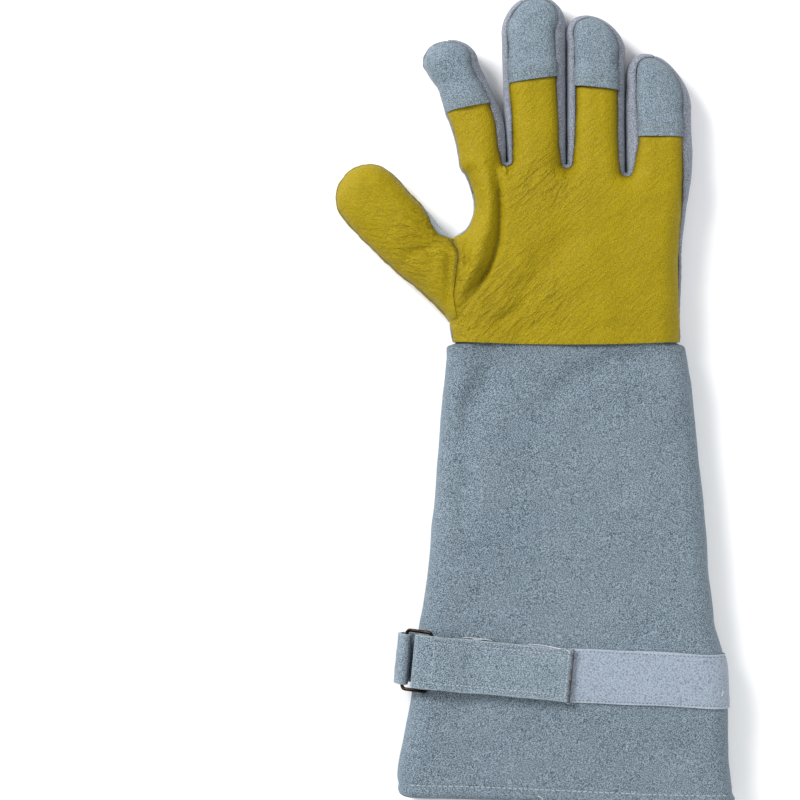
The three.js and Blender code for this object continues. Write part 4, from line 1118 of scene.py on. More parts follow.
def tuck_row(y):
    """The hand's own section, a little inside its leather."""
    inside = 2.1
    left = {"p": np.array([[plan[0, 0] + inside, y]]), "n": np.array([[1.0, 0.0]])}
    right = {"p": np.array([[plan[-1, 0] - inside, y]]), "n": np.array([[-1.0, 0.0]])}
    row = []
    for kind, hand, value in COLUMNS:
        if kind == "turn":
            point = on_rim(left if hand < 0 else right, np.array([[value * DEGREE]]))[0, 0]
        else:
            x = mix(left["p"][0, 0] + EDGE_ROUND, right["p"][0, 0] - EDGE_ROUND, value)
            point = lifted(np.array([[x, y]]), 1 if kind == "front" else -1)[0]
        row.append(point - [0, 0, inside * np.clip((point[2] - REST_HEIGHT) / 8, -1, 1)])
    return np.array(row)


CUFF_FOLDS = [
    ([(-30, -3), (-35.8, -7.3), (-47.6, -25), (-55, -41), (-59, -62.7), (-58.5, -85), (-63, -111)],
     8.5, 2.6),
    ([(62, -3), (57.5, -5), (25.2, -11.5), (4, -21), (-11, -36), (-20, -50)], 6.5, 1.9),
    ([(70, -60), (40, -75), (20, -95)], 10, 0.9),
]


def cuff_softness(points):
    """How far the cuff's leather stands out from its plain section, in mm."""
    swell = 0.55 * waves(points, 60, 101) + 0.3 * waves(points, 26, 102)
    swell += 0.12 * waves(points, 11, 103)
    hem = points[:, 1] + CUFF_LENGTH - hem_lift(points[:, 0], points[:, 1])
    swell += 0.5 * bell(hem - 3.4, 2.4) - 0.55 * bell(hem - HEM_STITCH, 1.1)
    swell -= fold_depth(points, CUFF_FOLDS) * (points[:, 2] > CUFF_REST)
    return swell + 0.18 * waves(points[:, :2], 7, 104) * bell(hem - HEM_STITCH, 3.5)


# %% The cuff sheet and its hem
rows_y = np.concatenate([np.linspace(-2, -12, 11), np.linspace(-12, -258, 132)[1:]])
body = column_points(COLUMNS, np.repeat(rows_y[:, None], len(COLUMNS), axis=1))
tuck = np.array([tuck_row(y) for y in (7, 5, 3, 1, -0.6, *rows_y[:5])])
for k, share in enumerate((0.78, 0.96)):
    blend_row = mix(tuck[5 + k], body[k], share)
    blend_row[:, 1] = rows_y[k]
    body[k] = blend_row
grid = np.concatenate([tuck[:5], body])
cuff = join("long_cuff", [sheet(grid, flip=True)])
points, normals = read_points(cuff), read_normals(cuff)
swell = cuff_softness(points) * ease((-points[:, 1] - 1) / 8) * ease((points[:, 2] - 0.5) / 6)
side_turn = (points[:, 0] - cuff_at(points[:, 1])[1]) / CUFF_ROUND
seam_height = np.abs(points[:, 2] - CUFF_REST + 2)
side_seam = np.where(side_turn > -0.35, bell(seam_height, 1.3), 0)
swell -= side_seam * (1 + 0.3 * waves(points, 3.6, 105)) * ease(-points[:, 1] / 6)
points += normals * swell[:, None]
points[:, 2] = np.maximum(points[:, 2], 0)
move_points(cuff, points)
# Painted shade: the cuff is painted darker just below the palm's edge, fading over about 20 mm, and stored
# with the side seam's darkening.
below_palm = np.maximum(-points[:, 1] - 1.5, 0)
top_shade = np.exp(-below_palm / 1.5) + 0.3 * np.exp(-below_palm / 20)
paint(cuff, "seam", np.clip(side_seam * 0.8 + top_shade, 0, 1))


def turn_in_hem(piece):
    """Turns the lower edge in and up again by extruding it round a small radius."""
    only(piece)
    bpy.ops.object.mode_set(mode="EDIT")
    bpy.ops.mesh.select_mode(type="EDGE")
    bpy.ops.mesh.select_all(action="DESELECT")
    bpy.ops.object.mode_set(mode="OBJECT")
    points = read_points(piece)
    low = points[:, 1] < -CUFF_LENGTH + HEM_RISE + 2.2
    low &= points[:, 1] - hem_lift(points[:, 0], points[:, 1]) < -CUFF_LENGTH + 2.6
    for vertex, on in zip(piece.data.vertices, low):
        vertex.select = bool(on)
    middle = points[low].mean(axis=0)
    steps = [(-1, 0.35), (-0.65, 0.95), (0.65, 0.95), (1, 0.35)] + [(3, 0)] * 4
    for down, inwards in steps:
        bpy.ops.object.mode_set(mode="EDIT")
        bpy.ops.mesh.select_mode(type="VERT")
        bpy.ops.mesh.extrude_region_move(MESH_OT_extrude_region={"use_normal_flip": False})
        bpy.ops.object.mode_set(mode="OBJECT")
        chosen = np.array([vertex.select for vertex in piece.data.vertices])
        points = read_points(piece)
        ring = points[chosen]
        to_side = np.sign(ring[:, 0] - middle[0])
        way = np.column_stack([to_side, np.zeros(len(ring)), middle[2] - ring[:, 2]])
        depth_side = np.abs(ring[:, 0] - middle[0]) / (np.ptp(ring[:, 0]) / 2)
        way[:, 0] *= -ease((depth_side - 0.86) / 0.14) * 8
        way /= np.maximum(np.linalg.norm(way, axis=1), 1e-6)[:, None]
        ring = ring + way * (inwards * FOLD_RADIUS)
        ring[:, 1] += down * FOLD_RADIUS * 0.9
        points[chosen] = ring
        move_points(piece, points)


turn_in_hem(cuff)
finish_leather(lay_on_glove(cuff), CUFF_WALL, angle=70)
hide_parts("cuff")
print("cuff points:", len(cuff.data.vertices))

# %% [markdown]
# ## Loop tape
# A strip of loop tape is sewn across the front of the cuff and into the side seam. It follows the
# cuff's own surface one leather thickness above it, so it is built on the same columns.

# %% Axes of the closure
CLOSURE_Y = -178
STRAP_SLOPE = 0.094
TAPE_SLOPE = 0.045
STRAP_LENGTH = 87
STRAP_WIDTH = 29.5
STRAP_WALL = 2.2
STRAP_STITCH = STRAP_WIDTH / 2 - 3.6
TAPE_WIDTH = 30
TAPE_WALL = 0.8
TAPE_RAISE = 1.25
KEEPER_WIDTH = 28
KEEPER_WALL = 2
KEEPER_REACH = 10.7
RING_WIRE = 2
RING_LENGTH = 35
RING_REACH = 13.9
RING_DROP = 7
RING_CORNER = 2.2
INNER_BAR = 7.1
LOOP_REACH = 8.4
closure = np.array([cuff_at(np.array([float(CLOSURE_Y)]))[0][0], CLOSURE_Y])
strap_way = np.array([1, -STRAP_SLOPE]) / math.hypot(1, STRAP_SLOPE)
strap_over = np.array([-strap_way[1], strap_way[0]])


def closure_point(along, across):
    return closure + np.multiply.outer(along, strap_way) + np.multiply.outer(across, strap_over)


def on_cuff(flat):
    """Heights of the soft cuff's front at these places."""
    shape = flat.shape[:-1]
    xy = flat.reshape(-1, 2)
    z = cuff_front(xy[:, 0], xy[:, 1])
    return (z + cuff_softness(np.column_stack([xy, z]))).reshape(shape)


# %% The tape
strap_end = closure_point(STRAP_LENGTH, 0)
columns = [("front", 0, s) for s in np.linspace(0.03, 1, 66)]
columns += [("turn", 1, t) for t in np.linspace(90, -22, 18)[1:]]
level = column_points(columns, np.full((1, len(columns)), strap_end[1]))[0, :, 0]
wobble = waves(np.column_stack([level, np.zeros(len(level))]), 30, 111)[None] * 0.25
offsets = np.linspace(TAPE_WIDTH / 2, -TAPE_WIDTH / 2, 25)[:, None]
beyond = level - strap_end[0]
middle_line = strap_end[1] - np.where(beyond > 0, TAPE_SLOPE, STRAP_SLOPE) * beyond
under_strap = 1 - 0.12 * ease(-beyond / 6)
y = middle_line[None] + offsets * under_strap[None] + wobble
tape = join("tape", [sheet(column_points(columns, y), flip=True)])
points = read_points(tape)
middle = strap_end[1] - TAPE_SLOPE * (points[:, 0] - strap_end[0])
across = np.minimum(np.abs(points[:, 1] - middle) / (TAPE_WIDTH / 2), 1)
push_out(tape, cuff_softness(points) + TAPE_RAISE - 0.35 * bell(across - 0.9, 0.05))
paint(tape, "edge", ease((across - 0.86) / 0.12))
finish_leather(lay_on_glove(tape), TAPE_WALL, bevel=0.2)
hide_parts("loop_tape")
print("tape points:", len(tape.data.vertices))

# %% [markdown]
# ## Strap and keeper
# The strap is a double layer of suede, built as one thick band. Its end comes back under the ring's
# inner bar and loops over it; the short keeper holds the ring's outer bar at the edge of the cuff.
# Both follow a path seen from the side.

# %% Bands along a path
inner_flat = closure_point(INNER_BAR, 0)
inner_z = cuff_front(inner_flat[:1], inner_flat[1:])[0] + 0.6 + STRAP_WALL + RING_WIRE / 2 + 1.3
outer_z = inner_z - RING_DROP
outer_along = INNER_BAR - RING_REACH
# Out from the bar and up from it, as shares of each loop's reach and height.
STRAP_LOOP = [
    (0.42, -0.62), (0, -1), (-0.5, -1.02), (-0.88, -0.68), (-1, 0), (-0.88, 0.68),
    (-0.5, 1.02), (0, 1.06), (0.6, 1),
]
KEEPER_LINE = [(-0.25, 0.14), (0.17, 0.18), (0.52, 0.25), (0.86, 0.43), (1, 0.65), (0.98, 0.85)]
KEEPER_RETURN = [(0.46, 0.87), (0.6, 0.75), (0.71, 0.6)]


def band(name, path, width, ground_from=None, columns=26):
    """A band of this width along a path of (along, height) points, with soft long edges."""
    share = np.linspace(-0.5, 0.5, columns + 1)
    edge_wave = waves(path, 26, 121) * 0.25
    across = share[None] * width + edge_wave[:, None] * np.sign(share)[None]
    flat = closure_point(np.repeat(path[:, :1], columns + 1, axis=1), 0 * across)
    flat = flat + across[..., None] * strap_over
    z = np.repeat(path[:, 1:2], columns + 1, axis=1)
    if ground_from is not None:
        z[ground_from:] = on_cuff(flat[ground_from:]) + path[ground_from:, 1:2]
    return join(name, [sheet(np.concatenate([flat, z[..., None]], axis=2), flip=True)])


# %% The strap
clear = RING_WIRE / 2 + 0.3 + STRAP_WALL / 2 + 0.15
loop = np.array([(INNER_BAR + out * LOOP_REACH, inner_z + up * clear) for out, up in STRAP_LOOP])
loop = pace(curve(loop, 12), 44)
flat_run = np.linspace(loop[-1, 0] + 1.1, STRAP_LENGTH, 66)
over_tape = TAPE_RAISE + 0.35 + STRAP_WALL / 2
start = loop[-1, 1] - on_cuff(closure_point(loop[-1:, 0], np.zeros(1)))[0]
above = mix(start, over_tape, ease((flat_run - flat_run[0]) / 22))
path = np.vstack([loop, np.column_stack([flat_run, above])])
strap = band("closing_strap", path, STRAP_WIDTH, ground_from=len(loop))
points, normals = read_points(strap), read_normals(strap)
local = points[:, :2] - closure
strap_u, strap_v = local @ strap_way, local @ strap_over
groove = bell(np.abs(strap_v) - STRAP_STITCH, 0.7)
crowned = 0.35 * (1 - (strap_v / (STRAP_WIDTH / 2)) ** 2)
on_front = ease((strap_u - 8) / 6)
lift = crowned - 0.32 * groove + 0.14 * waves(points, 9, 131) + 0.16 * waves(points, 22, 132)
corner = np.maximum(strap_u - (STRAP_LENGTH - 7), 0) / 7 * (np.abs(strap_v) / (STRAP_WIDTH / 2)) ** 3
loose_edge = 1.5 * ease((-strap_v / STRAP_WIDTH * 2 - 0.55) / 0.45)
points += normals * ((lift + loose_edge) * on_front + 0.8 * corner)[:, None]
move_points(strap, points)
edge = np.minimum(STRAP_WIDTH / 2 - np.abs(strap_v), STRAP_LENGTH - strap_u)
# Painted shade in the strap's stitch grooves.
paint(strap, "seam", groove * on_front * 0.5)
paint(strap, "edge", ease((1.4 - edge) / 1.4))
# The cut end is painted near-black brown: the leather's brown core, darkened further as painted shade of the
# end wall.
paint(strap, "raw", 0.92 * ease((strap_u - STRAP_LENGTH + 1.7 + 0.3 * waves(points, 5, 133)) / 1))
finish_leather(lay_on_glove(strap), STRAP_WALL - 0.3, offset=0, bevel=0.35)
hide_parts("strap")
print("strap points:", len(strap.data.vertices))

# %% The keeper
radius = RING_WIRE / 2 + 0.3 + KEEPER_WALL / 2
path = [(-out * KEEPER_REACH, up * outer_z) for out, up in KEEPER_LINE]
path += [
    (outer_along + radius * math.cos(turn * DEGREE), outer_z + radius * math.sin(turn * DEGREE))
    for turn in range(165, -16, -30)
]
path += [(-out * KEEPER_REACH, up * outer_z) for out, up in KEEPER_RETURN]
keeper = band("keeper", pace(curve(path, 12), 70), KEEPER_WIDTH)
points, normals = read_points(keeper), read_normals(keeper)
points += normals * (0.14 * waves(points, 8, 141) + 0.1 * waves(points, 4, 142))[:, None]
move_points(keeper, points)
keeper_v = (points[:, :2] - closure) @ strap_over
paint(keeper, "edge", ease((1.4 - (KEEPER_WIDTH / 2 - np.abs(keeper_v))) / 1.4))
finish_leather(lay_on_glove(keeper), KEEPER_WALL - 0.3, offset=0, bevel=0.35)
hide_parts("ring_keeper")
print("keeper points:", len(keeper.data.vertices))

# %% [markdown]
# ## Ring
# The ring is bent from round wire with a blackened bronze finish. A circle of points is carried
# along its four sides with extrude and round its four corners with spin, as the wire is bent.

# %% Bending the wire
def bend_wire():
    half_long = (RING_LENGTH - RING_WIRE) / 2 - RING_CORNER
    half_wide = math.hypot(RING_REACH, RING_DROP) / 2 - RING_CORNER
    deselect()
    bpy.ops.mesh.primitive_circle_add(
        vertices=16, radius=RING_WIRE / 2 * MM, fill_type="NOTHING",
        location=((half_wide + RING_CORNER) * MM, -half_long * MM, 0), rotation=(math.pi / 2, 0, 0),
    )
    ring = bpy.context.object
    bpy.ops.object.transform_apply(location=True, rotation=True, scale=True)
    bpy.ops.object.mode_set(mode="EDIT")
    bpy.ops.mesh.select_all(action="SELECT")
    corners = [
        (half_wide, half_long), (-half_wide, half_long),
        (-half_wide, -half_long), (half_wide, -half_long),
    ]
    ways = [(0, 2 * half_long), (-2 * half_wide, 0), (0, -2 * half_long), (2 * half_wide, 0)]
    for (x, y), (dx, dy) in zip(corners, ways):
        bpy.ops.mesh.extrude_region_move(TRANSFORM_OT_translate={"value": (dx * MM, dy * MM, 0)})
        bpy.ops.mesh.spin(steps=8, angle=-math.pi / 2, center=(x * MM, y * MM, 0), axis=(0, 0, 1))
    bpy.ops.mesh.select_all(action="SELECT")
    bpy.ops.mesh.remove_doubles(threshold=0.01 * MM)
    bpy.ops.mesh.normals_make_consistent(inside=False)
    bpy.ops.object.mode_set(mode="OBJECT")
    return ring


ring = bend_wire()
ring.name = ring.data.name = "wire_ring"
ring_flat = closure_point((INNER_BAR + outer_along) / 2, 0) + np.array(SHIFT)
across_way = Vector((strap_way[0] * RING_REACH, strap_way[1] * RING_REACH, RING_DROP)).normalized()
along_way = Vector((*strap_over, 0))
normal_way = across_way.cross(along_way)
turned = Matrix((across_way, along_way, normal_way)).transposed().to_4x4()
turned.translation = Vector((*ring_flat, (inner_z + outer_z) / 2)) * MM
ring.data.transform(turned)
shade_smooth(ring)
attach(ring, "root")
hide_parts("ring")
print("ring points:", len(ring.data.vertices), [round(v / MM, 1) for v in ring.dimensions])

# %% [markdown]
# ## Stitches
# The patches, the strap, the hem and the loop tape have rows of real stitches. One stitch is a
# short capsule that dips at both ends; it is copied along each row and laid on what lies below it.

# %% One stitch, copied along a row
def one_stitch(length, thick):
    deselect()
    lying = (0, math.pi / 2, 0)
    bpy.ops.mesh.primitive_uv_sphere_add(segments=8, ring_count=6, radius=1, rotation=lying)
    stitch = bpy.context.object
    bpy.ops.object.transform_apply(rotation=True)
    points = read_points(stitch) * MM
    x = points[:, 0].copy()
    points[:, 0] = np.sign(x) * np.abs(x) ** 0.7 * length / 2
    points[:, 1] *= thick / 2
    points[:, 2] = points[:, 2] * thick / 2 - 0.3 * thick * np.abs(x) ** 3
    move_points(stitch, points)
    return stitch


def sew_row(name, line, on, pitch=2.3, length=1.8, thick=0.5, from_above=True, proud=0.12):
    """Lays stitches along a line (mm, in the frame) on the piece below it."""
    run = lengths(line)
    at = np.arange(pitch / 2, run[-1], pitch)
    places, ahead = walk(line, at), walk(line, np.minimum(at + 0.2, run[-1]))
    behind = walk(line, np.maximum(at - 0.2, 0))
    model = one_stitch(length, thick)
    rng = np.random.default_rng(len(line) + int(abs(line[0, 0]) * 10))
    copies = []
    down = Vector((0, 0, -1 if from_above else 1))
    for place, way in zip(places, ahead - behind):
        start = Vector((place[0] * MM, place[1] * MM, 0.1 if from_above else -0.1))
        hit, spot, normal, _ = on.ray_cast(start, down)
        if not hit:
            continue
        x_way = Vector((way[0], way[1], 0))
        x_way = (x_way - normal * x_way.dot(normal)).normalized()
        x_way.rotate(Matrix.Rotation(rng.normal(0, 0.07), 3, normal))
        y_way = normal.cross(x_way)
        size = 1 + rng.normal(0, 0.13)
        turned = Matrix((x_way * size, y_way, normal)).transposed().to_4x4()
        turned.translation = spot + normal * (proud * MM)
        copy = model.copy()
        copy.data = model.data.copy()
        copy.data.transform(turned)
        bpy.context.collection.objects.link(copy)
        copies.append(copy)
    bpy.data.objects.remove(model)
    if not copies:
        return None
    row = join(name, copies, weld=0)
    press_flat(row)
    shade_smooth(row)
    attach(row, "root")
    return row


def shifted(points):
    return np.asarray(points, float)[:, :2] + np.array(SHIFT)


# %% Loose threads
def loose_thread(start, end, bend, thick=0.42):
    """A bent strand between two places on the glove (mm, in the frame)."""
    def on_top(place, lift=0.25):
        spots = [
            piece.ray_cast(Vector((place[0], place[1], 100)) * MM, Vector((0, 0, -1)))
            for piece in (strap, tape, cuff)
        ]
        highest = max(spot.z for hit, spot, _, _ in spots if hit)
        return Vector((place[0] * MM, place[1] * MM, highest + lift * MM))

    deselect()
    bpy.ops.curve.primitive_bezier_curve_add()
    line = bpy.context.object.data
    first, last = line.splines[0].bezier_points
    start, end, bend = on_top(start), on_top(end), Vector(bend) * MM
    for point, place in ((first, start), (last, end)):
        point.handle_left_type = point.handle_right_type = "FREE"
        point.co = point.handle_left = point.handle_right = place
    first.handle_right = start + (end - start) / 3 + bend
    last.handle_left = end + (start - end) / 3 + bend * 0.6
    line.bevel_depth, line.bevel_resolution, line.resolution_u = thick / 2 * MM, 1, 10
    line.use_fill_caps = True
    bpy.ops.object.convert(target="MESH")
    return bpy.context.object


LOOSE = [
    ((-41, -132.4), (-24.7, -134), (0, 0.9, 0.8)), ((-36, -132.8), (-28, -133), (0, -0.8, 0.9)),
    ((-4.6, -135.9), (13.5, -138.2), (0, 0.9, 0.7)), ((0.5, -220.2), (3.6, -222.9), (0.6, 0.5, 0.6)),
    ((104, -162), (103.4, -165), (0.7, 0, 0.3)), ((16.4, -139), (18.4, -141), (0.5, 0.6, 0.5)),
    ((16, -168), (18.2, -169), (0.4, -0.7, 0.4)),
]
loose = join("loose_threads", [loose_thread(*strand) for strand in LOOSE], weld=0)
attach(loose, "root")
print("loose threads:", len(LOOSE), len(loose.data.vertices))

# %% Stitches of the fingertip patches
stitch_rows = {"tip": [], "cuff": [], "tape": []}
for name in NAMES:
    left, right = finger_sides(name)
    edge_left = field_edge(left, 1)[FINGER_ROWS, :2]
    edge_right = field_edge(right, 1)[FINGER_ROWS, :2]
    if name == "index":
        outer_part = pick("index_left", FINGER_ROWS, FINGER_ROWS + 1)
        edge_left = on_rim(outer_part, np.array([[22 * DEGREE]]))[0, 0, :2]
    way = (edge_right - edge_left) / np.linalg.norm(edge_right - edge_left)
    up = np.array([-way[1], way[0]])
    for k, offset in enumerate((2.7, 5.3)):
        ends = edge_left + way * 0.7, edge_right - way * 0.7
        line = np.array([ends[0], (edge_left + edge_right) / 2, ends[1]]) + up * offset
        row = sew_row(
            f"stitches_{name}_{k}", shifted(line), patches[name], pitch=1.9, length=1.3, thick=0.4,
        )
        stitch_rows["tip"].append(row)
print("patch rows:", len(stitch_rows["tip"]))

# %% Stitches of the strap
def strap_line(points):
    return np.array([closure_point(u, v) for u, v in points]) + np.array(SHIFT)


near, far, beside = 9, STRAP_LENGTH - 3, STRAP_STITCH
rows = {
    "upper": [(near, beside), (far, beside)],
    "lower": [(near, -beside), (far, -beside)],
    "end": [(far, -beside), (far, beside)],
    "start": [(near, -beside), (near, beside)],
}
for key, line in rows.items():
    row = sew_row(
        "stitches_strap_" + key, strap_line(line), strap, pitch=2.3, length=1.7, thick=0.5,
    )
    stitch_rows["cuff"].append(row)

# %% Stitches of the hem
x = np.linspace(-88, 88, 60)
y = np.full(len(x), HEM_STITCH - CUFF_LENGTH)
hem_line = shifted(np.column_stack([x, y + hem_lift(x, y)]))
for side, top in (("front", True), ("back", False)):
    row = sew_row(
        "stitches_hem_" + side, hem_line, cuff, pitch=3, length=2.2, thick=0.55, from_above=top,
    )
    stitch_rows["cuff"].append(row)

# %% Stitches of the tape
x = np.linspace(strap_end[0] + 1, 94, 40)
for key, offset in (("upper", TAPE_WIDTH / 2 - 1.4), ("lower", -TAPE_WIDTH / 2 + 1.4)):
    y = strap_end[1] - TAPE_SLOPE * (x - strap_end[0]) + offset
    row = sew_row(
        "stitches_tape_" + key, shifted(np.column_stack([x, y])), tape, pitch=2.1, length=1.0, thick=0.5,
        proud=0.1,
    )
    stitch_rows["tape"].append(row)
print("rows of stitches:", {key: len(rows) for key, rows in stitch_rows.items()})

# %% [markdown]
# ## Finishes
# Leather is seen by its grain: fine pores that scatter the light, longer wrinkles that follow the
# folds, and a colour that is never even. Effects that several finishes use are node groups with
# named inputs; everything reads Object coordinates, so the grain has its real size in metres.

# %% Small helpers for node trees
def add(tree, kind, inputs=None, **settings):
    node = tree.nodes.new(kind)
    for key, value in settings.items():
        setattr(node, key, value)
    for key, value in (inputs or {}).items():
        if isinstance(value, bpy.types.NodeSocket):
            tree.links.new(value, node.inputs[key])
        else:
            node.inputs[key].default_value = value
    return node


def maths(tree, operation, a, b=0.0, c=0.0):
    return add(tree, "ShaderNodeMath", {0: a, 1: b, 2: c}, operation=operation).outputs[0]


def blend_colour(tree, share, a, b):
    return add(tree, "ShaderNodeMix", {0: share, 6: a, 7: b}, data_type="RGBA").outputs[2]


def noise(tree, vector, scale, detail=3.0, roughness=0.55, distortion=0.0):
    values = {
        "Vector": vector, "Scale": scale, "Detail": detail, "Roughness": roughness,
        "Distortion": distortion,
    }
    return add(tree, "ShaderNodeTexNoise", values).outputs["Fac"]


def spread(tree, value, low, high, to_low=0.0, to_high=1.0):
    values = {"Value": value, "From Min": low, "From Max": high, "To Min": to_low, "To Max": to_high}
    return add(tree, "ShaderNodeMapRange", values).outputs[0]


def group(name, inputs, outputs):
    tree = bpy.data.node_groups.new(name, "ShaderNodeTree")
    for key, (kind, value) in inputs.items():
        socket = tree.interface.new_socket(key, in_out="INPUT", socket_type=kind)
        if value is not None:
            socket.default_value = value
    for key, kind in outputs.items():
        tree.interface.new_socket(key, in_out="OUTPUT", socket_type=kind)
    return tree, add(tree, "NodeGroupInput").outputs, add(tree, "NodeGroupOutput").inputs


def use(tree, made, inputs):
    return add(tree, "ShaderNodeGroup", inputs, node_tree=made).outputs


def painted(tree, name):
    """The number per point that paint() stored under this name."""
    return add(tree, "ShaderNodeAttribute", attribute_name=name).outputs["Fac"]


# %% Grain: pores, pebbles and stretched wrinkles of grain leather
FLOAT, VECTOR = "NodeSocketFloat", "NodeSocketVector"
grain, g_in, g_out = group(
    "leather_grain",
    {
        "Vector": (VECTOR, None), "Cells per m": (FLOAT, 900.0), "Wrinkle": (FLOAT, 0.5),
        "Turn": (VECTOR, (0.0, 0.0, 0.0)),
    },
    {"Height": FLOAT, "Pores": FLOAT, "Wrinkles": FLOAT},
)
bent = add(grain, "ShaderNodeTexNoise", {"Vector": g_in["Vector"], "Scale": 260.0, "Detail": 2.0})
push = add(
    grain, "ShaderNodeVectorMath", {0: bent.outputs["Color"], 1: (0.5, 0.5, 0.5)},
    operation="SUBTRACT",
)
push = add(grain, "ShaderNodeVectorMath", {0: push.outputs[0], "Scale": 0.0016}, operation="SCALE")
moved = add(
    grain, "ShaderNodeVectorMath", {0: g_in["Vector"], 1: push.outputs[0]}, operation="ADD",
).outputs[0]
cells = add(
    grain, "ShaderNodeTexVoronoi", {"Vector": moved, "Scale": g_in["Cells per m"]},
    feature="DISTANCE_TO_EDGE",
).outputs["Distance"]
pebbles = spread(grain, cells, 0.0, 0.32)
fine = noise(grain, g_in["Vector"], 2600.0, 2.0)
long_way = add(
    grain, "ShaderNodeMapping",
    {"Vector": g_in["Vector"], "Rotation": g_in["Turn"], "Scale": (3.4, 1.0, 1.0)},
    vector_type="TEXTURE",
).outputs[0]
lines = noise(grain, long_way, 430.0, 2.0, 0.55, 0.5)
lines = spread(grain, lines, 0.3, 0.7)
lines = maths(grain, "MULTIPLY", lines, g_in["Wrinkle"])
height = maths(grain, "MULTIPLY_ADD", pebbles, 0.6, maths(grain, "MULTIPLY", fine, 0.35))
grain.links.new(height, g_out["Height"])
grain.links.new(maths(grain, "SUBTRACT", 1.0, pebbles), g_out["Pores"])
grain.links.new(lines, g_out["Wrinkles"])

# %% Nap: the clouded, speckled surface of suede
nap, n_in, n_out = group(
    "suede_nap",
    {"Vector": (VECTOR, None), "Speckle per m": (FLOAT, 1300.0)},
    {"Cloud": FLOAT, "Speckle": FLOAT, "Height": FLOAT},
)
cloud = noise(nap, n_in["Vector"], 24.0, 5.0, 0.6)
brushed = add(
    nap, "ShaderNodeMapping",
    {"Vector": n_in["Vector"], "Rotation": (0, 0, 0.7), "Scale": (1.35, 1.0, 1.0)}, vector_type="TEXTURE",
).outputs[0]
mottle = noise(nap, n_in["Vector"], 420.0, 3.0, 0.6, 0.4)
speck = noise(nap, brushed, n_in["Speckle per m"], 1.0, 0.5, 0.3)
both = maths(nap, "MULTIPLY_ADD", mottle, 0.07, maths(nap, "MULTIPLY", speck, 0.93))
nap.links.new(spread(nap, cloud, 0.3, 0.7), n_out["Cloud"])
nap.links.new(spread(nap, both, 0.435, 0.565), n_out["Speckle"])
nap.links.new(maths(nap, "MULTIPLY_ADD", mottle, 0.3, maths(nap, "MULTIPLY", speck, 0.9)), n_out["Height"])

# %% Seam shade: darker along seams, and painted shade under cut edges, in the palm's crease, in the strap's stitch grooves and on the cuff below the palm
shade, s_in, s_out = group(
    "seam_shade", {"Vector": (VECTOR, None), "Amount": (FLOAT, 0.6)}, {"Mask": FLOAT}
)
near = painted(shade, "seam")
rough = noise(shade, s_in["Vector"], 420.0, 3.0)
mask = maths(shade, "MULTIPLY", near, spread(shade, rough, 0.25, 0.6, 0.6, 1.0))
shade.links.new(maths(shade, "MULTIPLY", mask, s_in["Amount"]), s_out["Mask"])


def surface(name):
    material = bpy.data.materials.new(name)
    material.use_nodes = True
    tree = material.node_tree
    shader = tree.nodes["Principled BSDF"]
    return material, tree, shader, add(tree, "ShaderNodeTexCoord").outputs["Object"]


def bump(tree, height, distance, strength=1.0, under=None):
    values = {"Height": height, "Distance": distance, "Strength": strength}
    if under is not None:
        values["Normal"] = under
    return add(tree, "ShaderNodeBump", values).outputs[0]


# %% Yellow grain leather
def yellow_leather(name, turn):
    material, tree, shader, where = surface(name)
    crease = painted(tree, "crease")
    out = use(tree, grain, {"Vector": where, "Cells per m": 900.0, "Wrinkle": crease, "Turn": (0, 0, turn)})
    cloud = spread(tree, noise(tree, where, 30.0, 5.0, 0.6), 0.32, 0.68)
    fine = spread(tree, noise(tree, where, 1300.0, 2.0, 0.6), 0.38, 0.62)
    colour = blend_colour(tree, cloud, (0.25, 0.183, 0.0002, 1), (0.30, 0.225, 0.0004, 1))
    dark = (0.13, 0.085, 0.0002, 1)
    colour = blend_colour(tree, maths(tree, "MULTIPLY", out["Pores"], 0.45), colour, dark)
    colour = blend_colour(tree, maths(tree, "MULTIPLY", fine, 0.4), colour, (0.42, 0.33, 0.001, 1))
    # Painted shade: the colour is darkened in the wrinkles' valleys where the crease mask is high.
    furrow_shade = maths(tree, "MULTIPLY", maths(tree, "SUBTRACT", crease, out["Wrinkles"]), 0.35)
    colour = blend_colour(tree, furrow_shade, colour, dark)
    mask = use(tree, shade, {"Vector": where, "Amount": 0.8})["Mask"]
    colour = blend_colour(tree, mask, colour, (0.045, 0.03, 0.001, 1))
    tree.links.new(colour, shader.inputs["Base Color"])
    rough = spread(tree, noise(tree, where, 210.0, 3.0), 0.3, 0.7, 0.42, 0.56)
    tree.links.new(maths(tree, "MULTIPLY_ADD", out["Pores"], 0.08, rough), shader.inputs["Roughness"])
    normal = bump(tree, out["Wrinkles"], 0.001, 0.9)
    normal = bump(tree, out["Height"], 0.00035, 0.7, normal)
    tree.links.new(normal, shader.inputs["Normal"])
    shader.inputs["IOR"].default_value = 1.47
    shader.inputs["Specular IOR Level"].default_value = 0.17
    return material


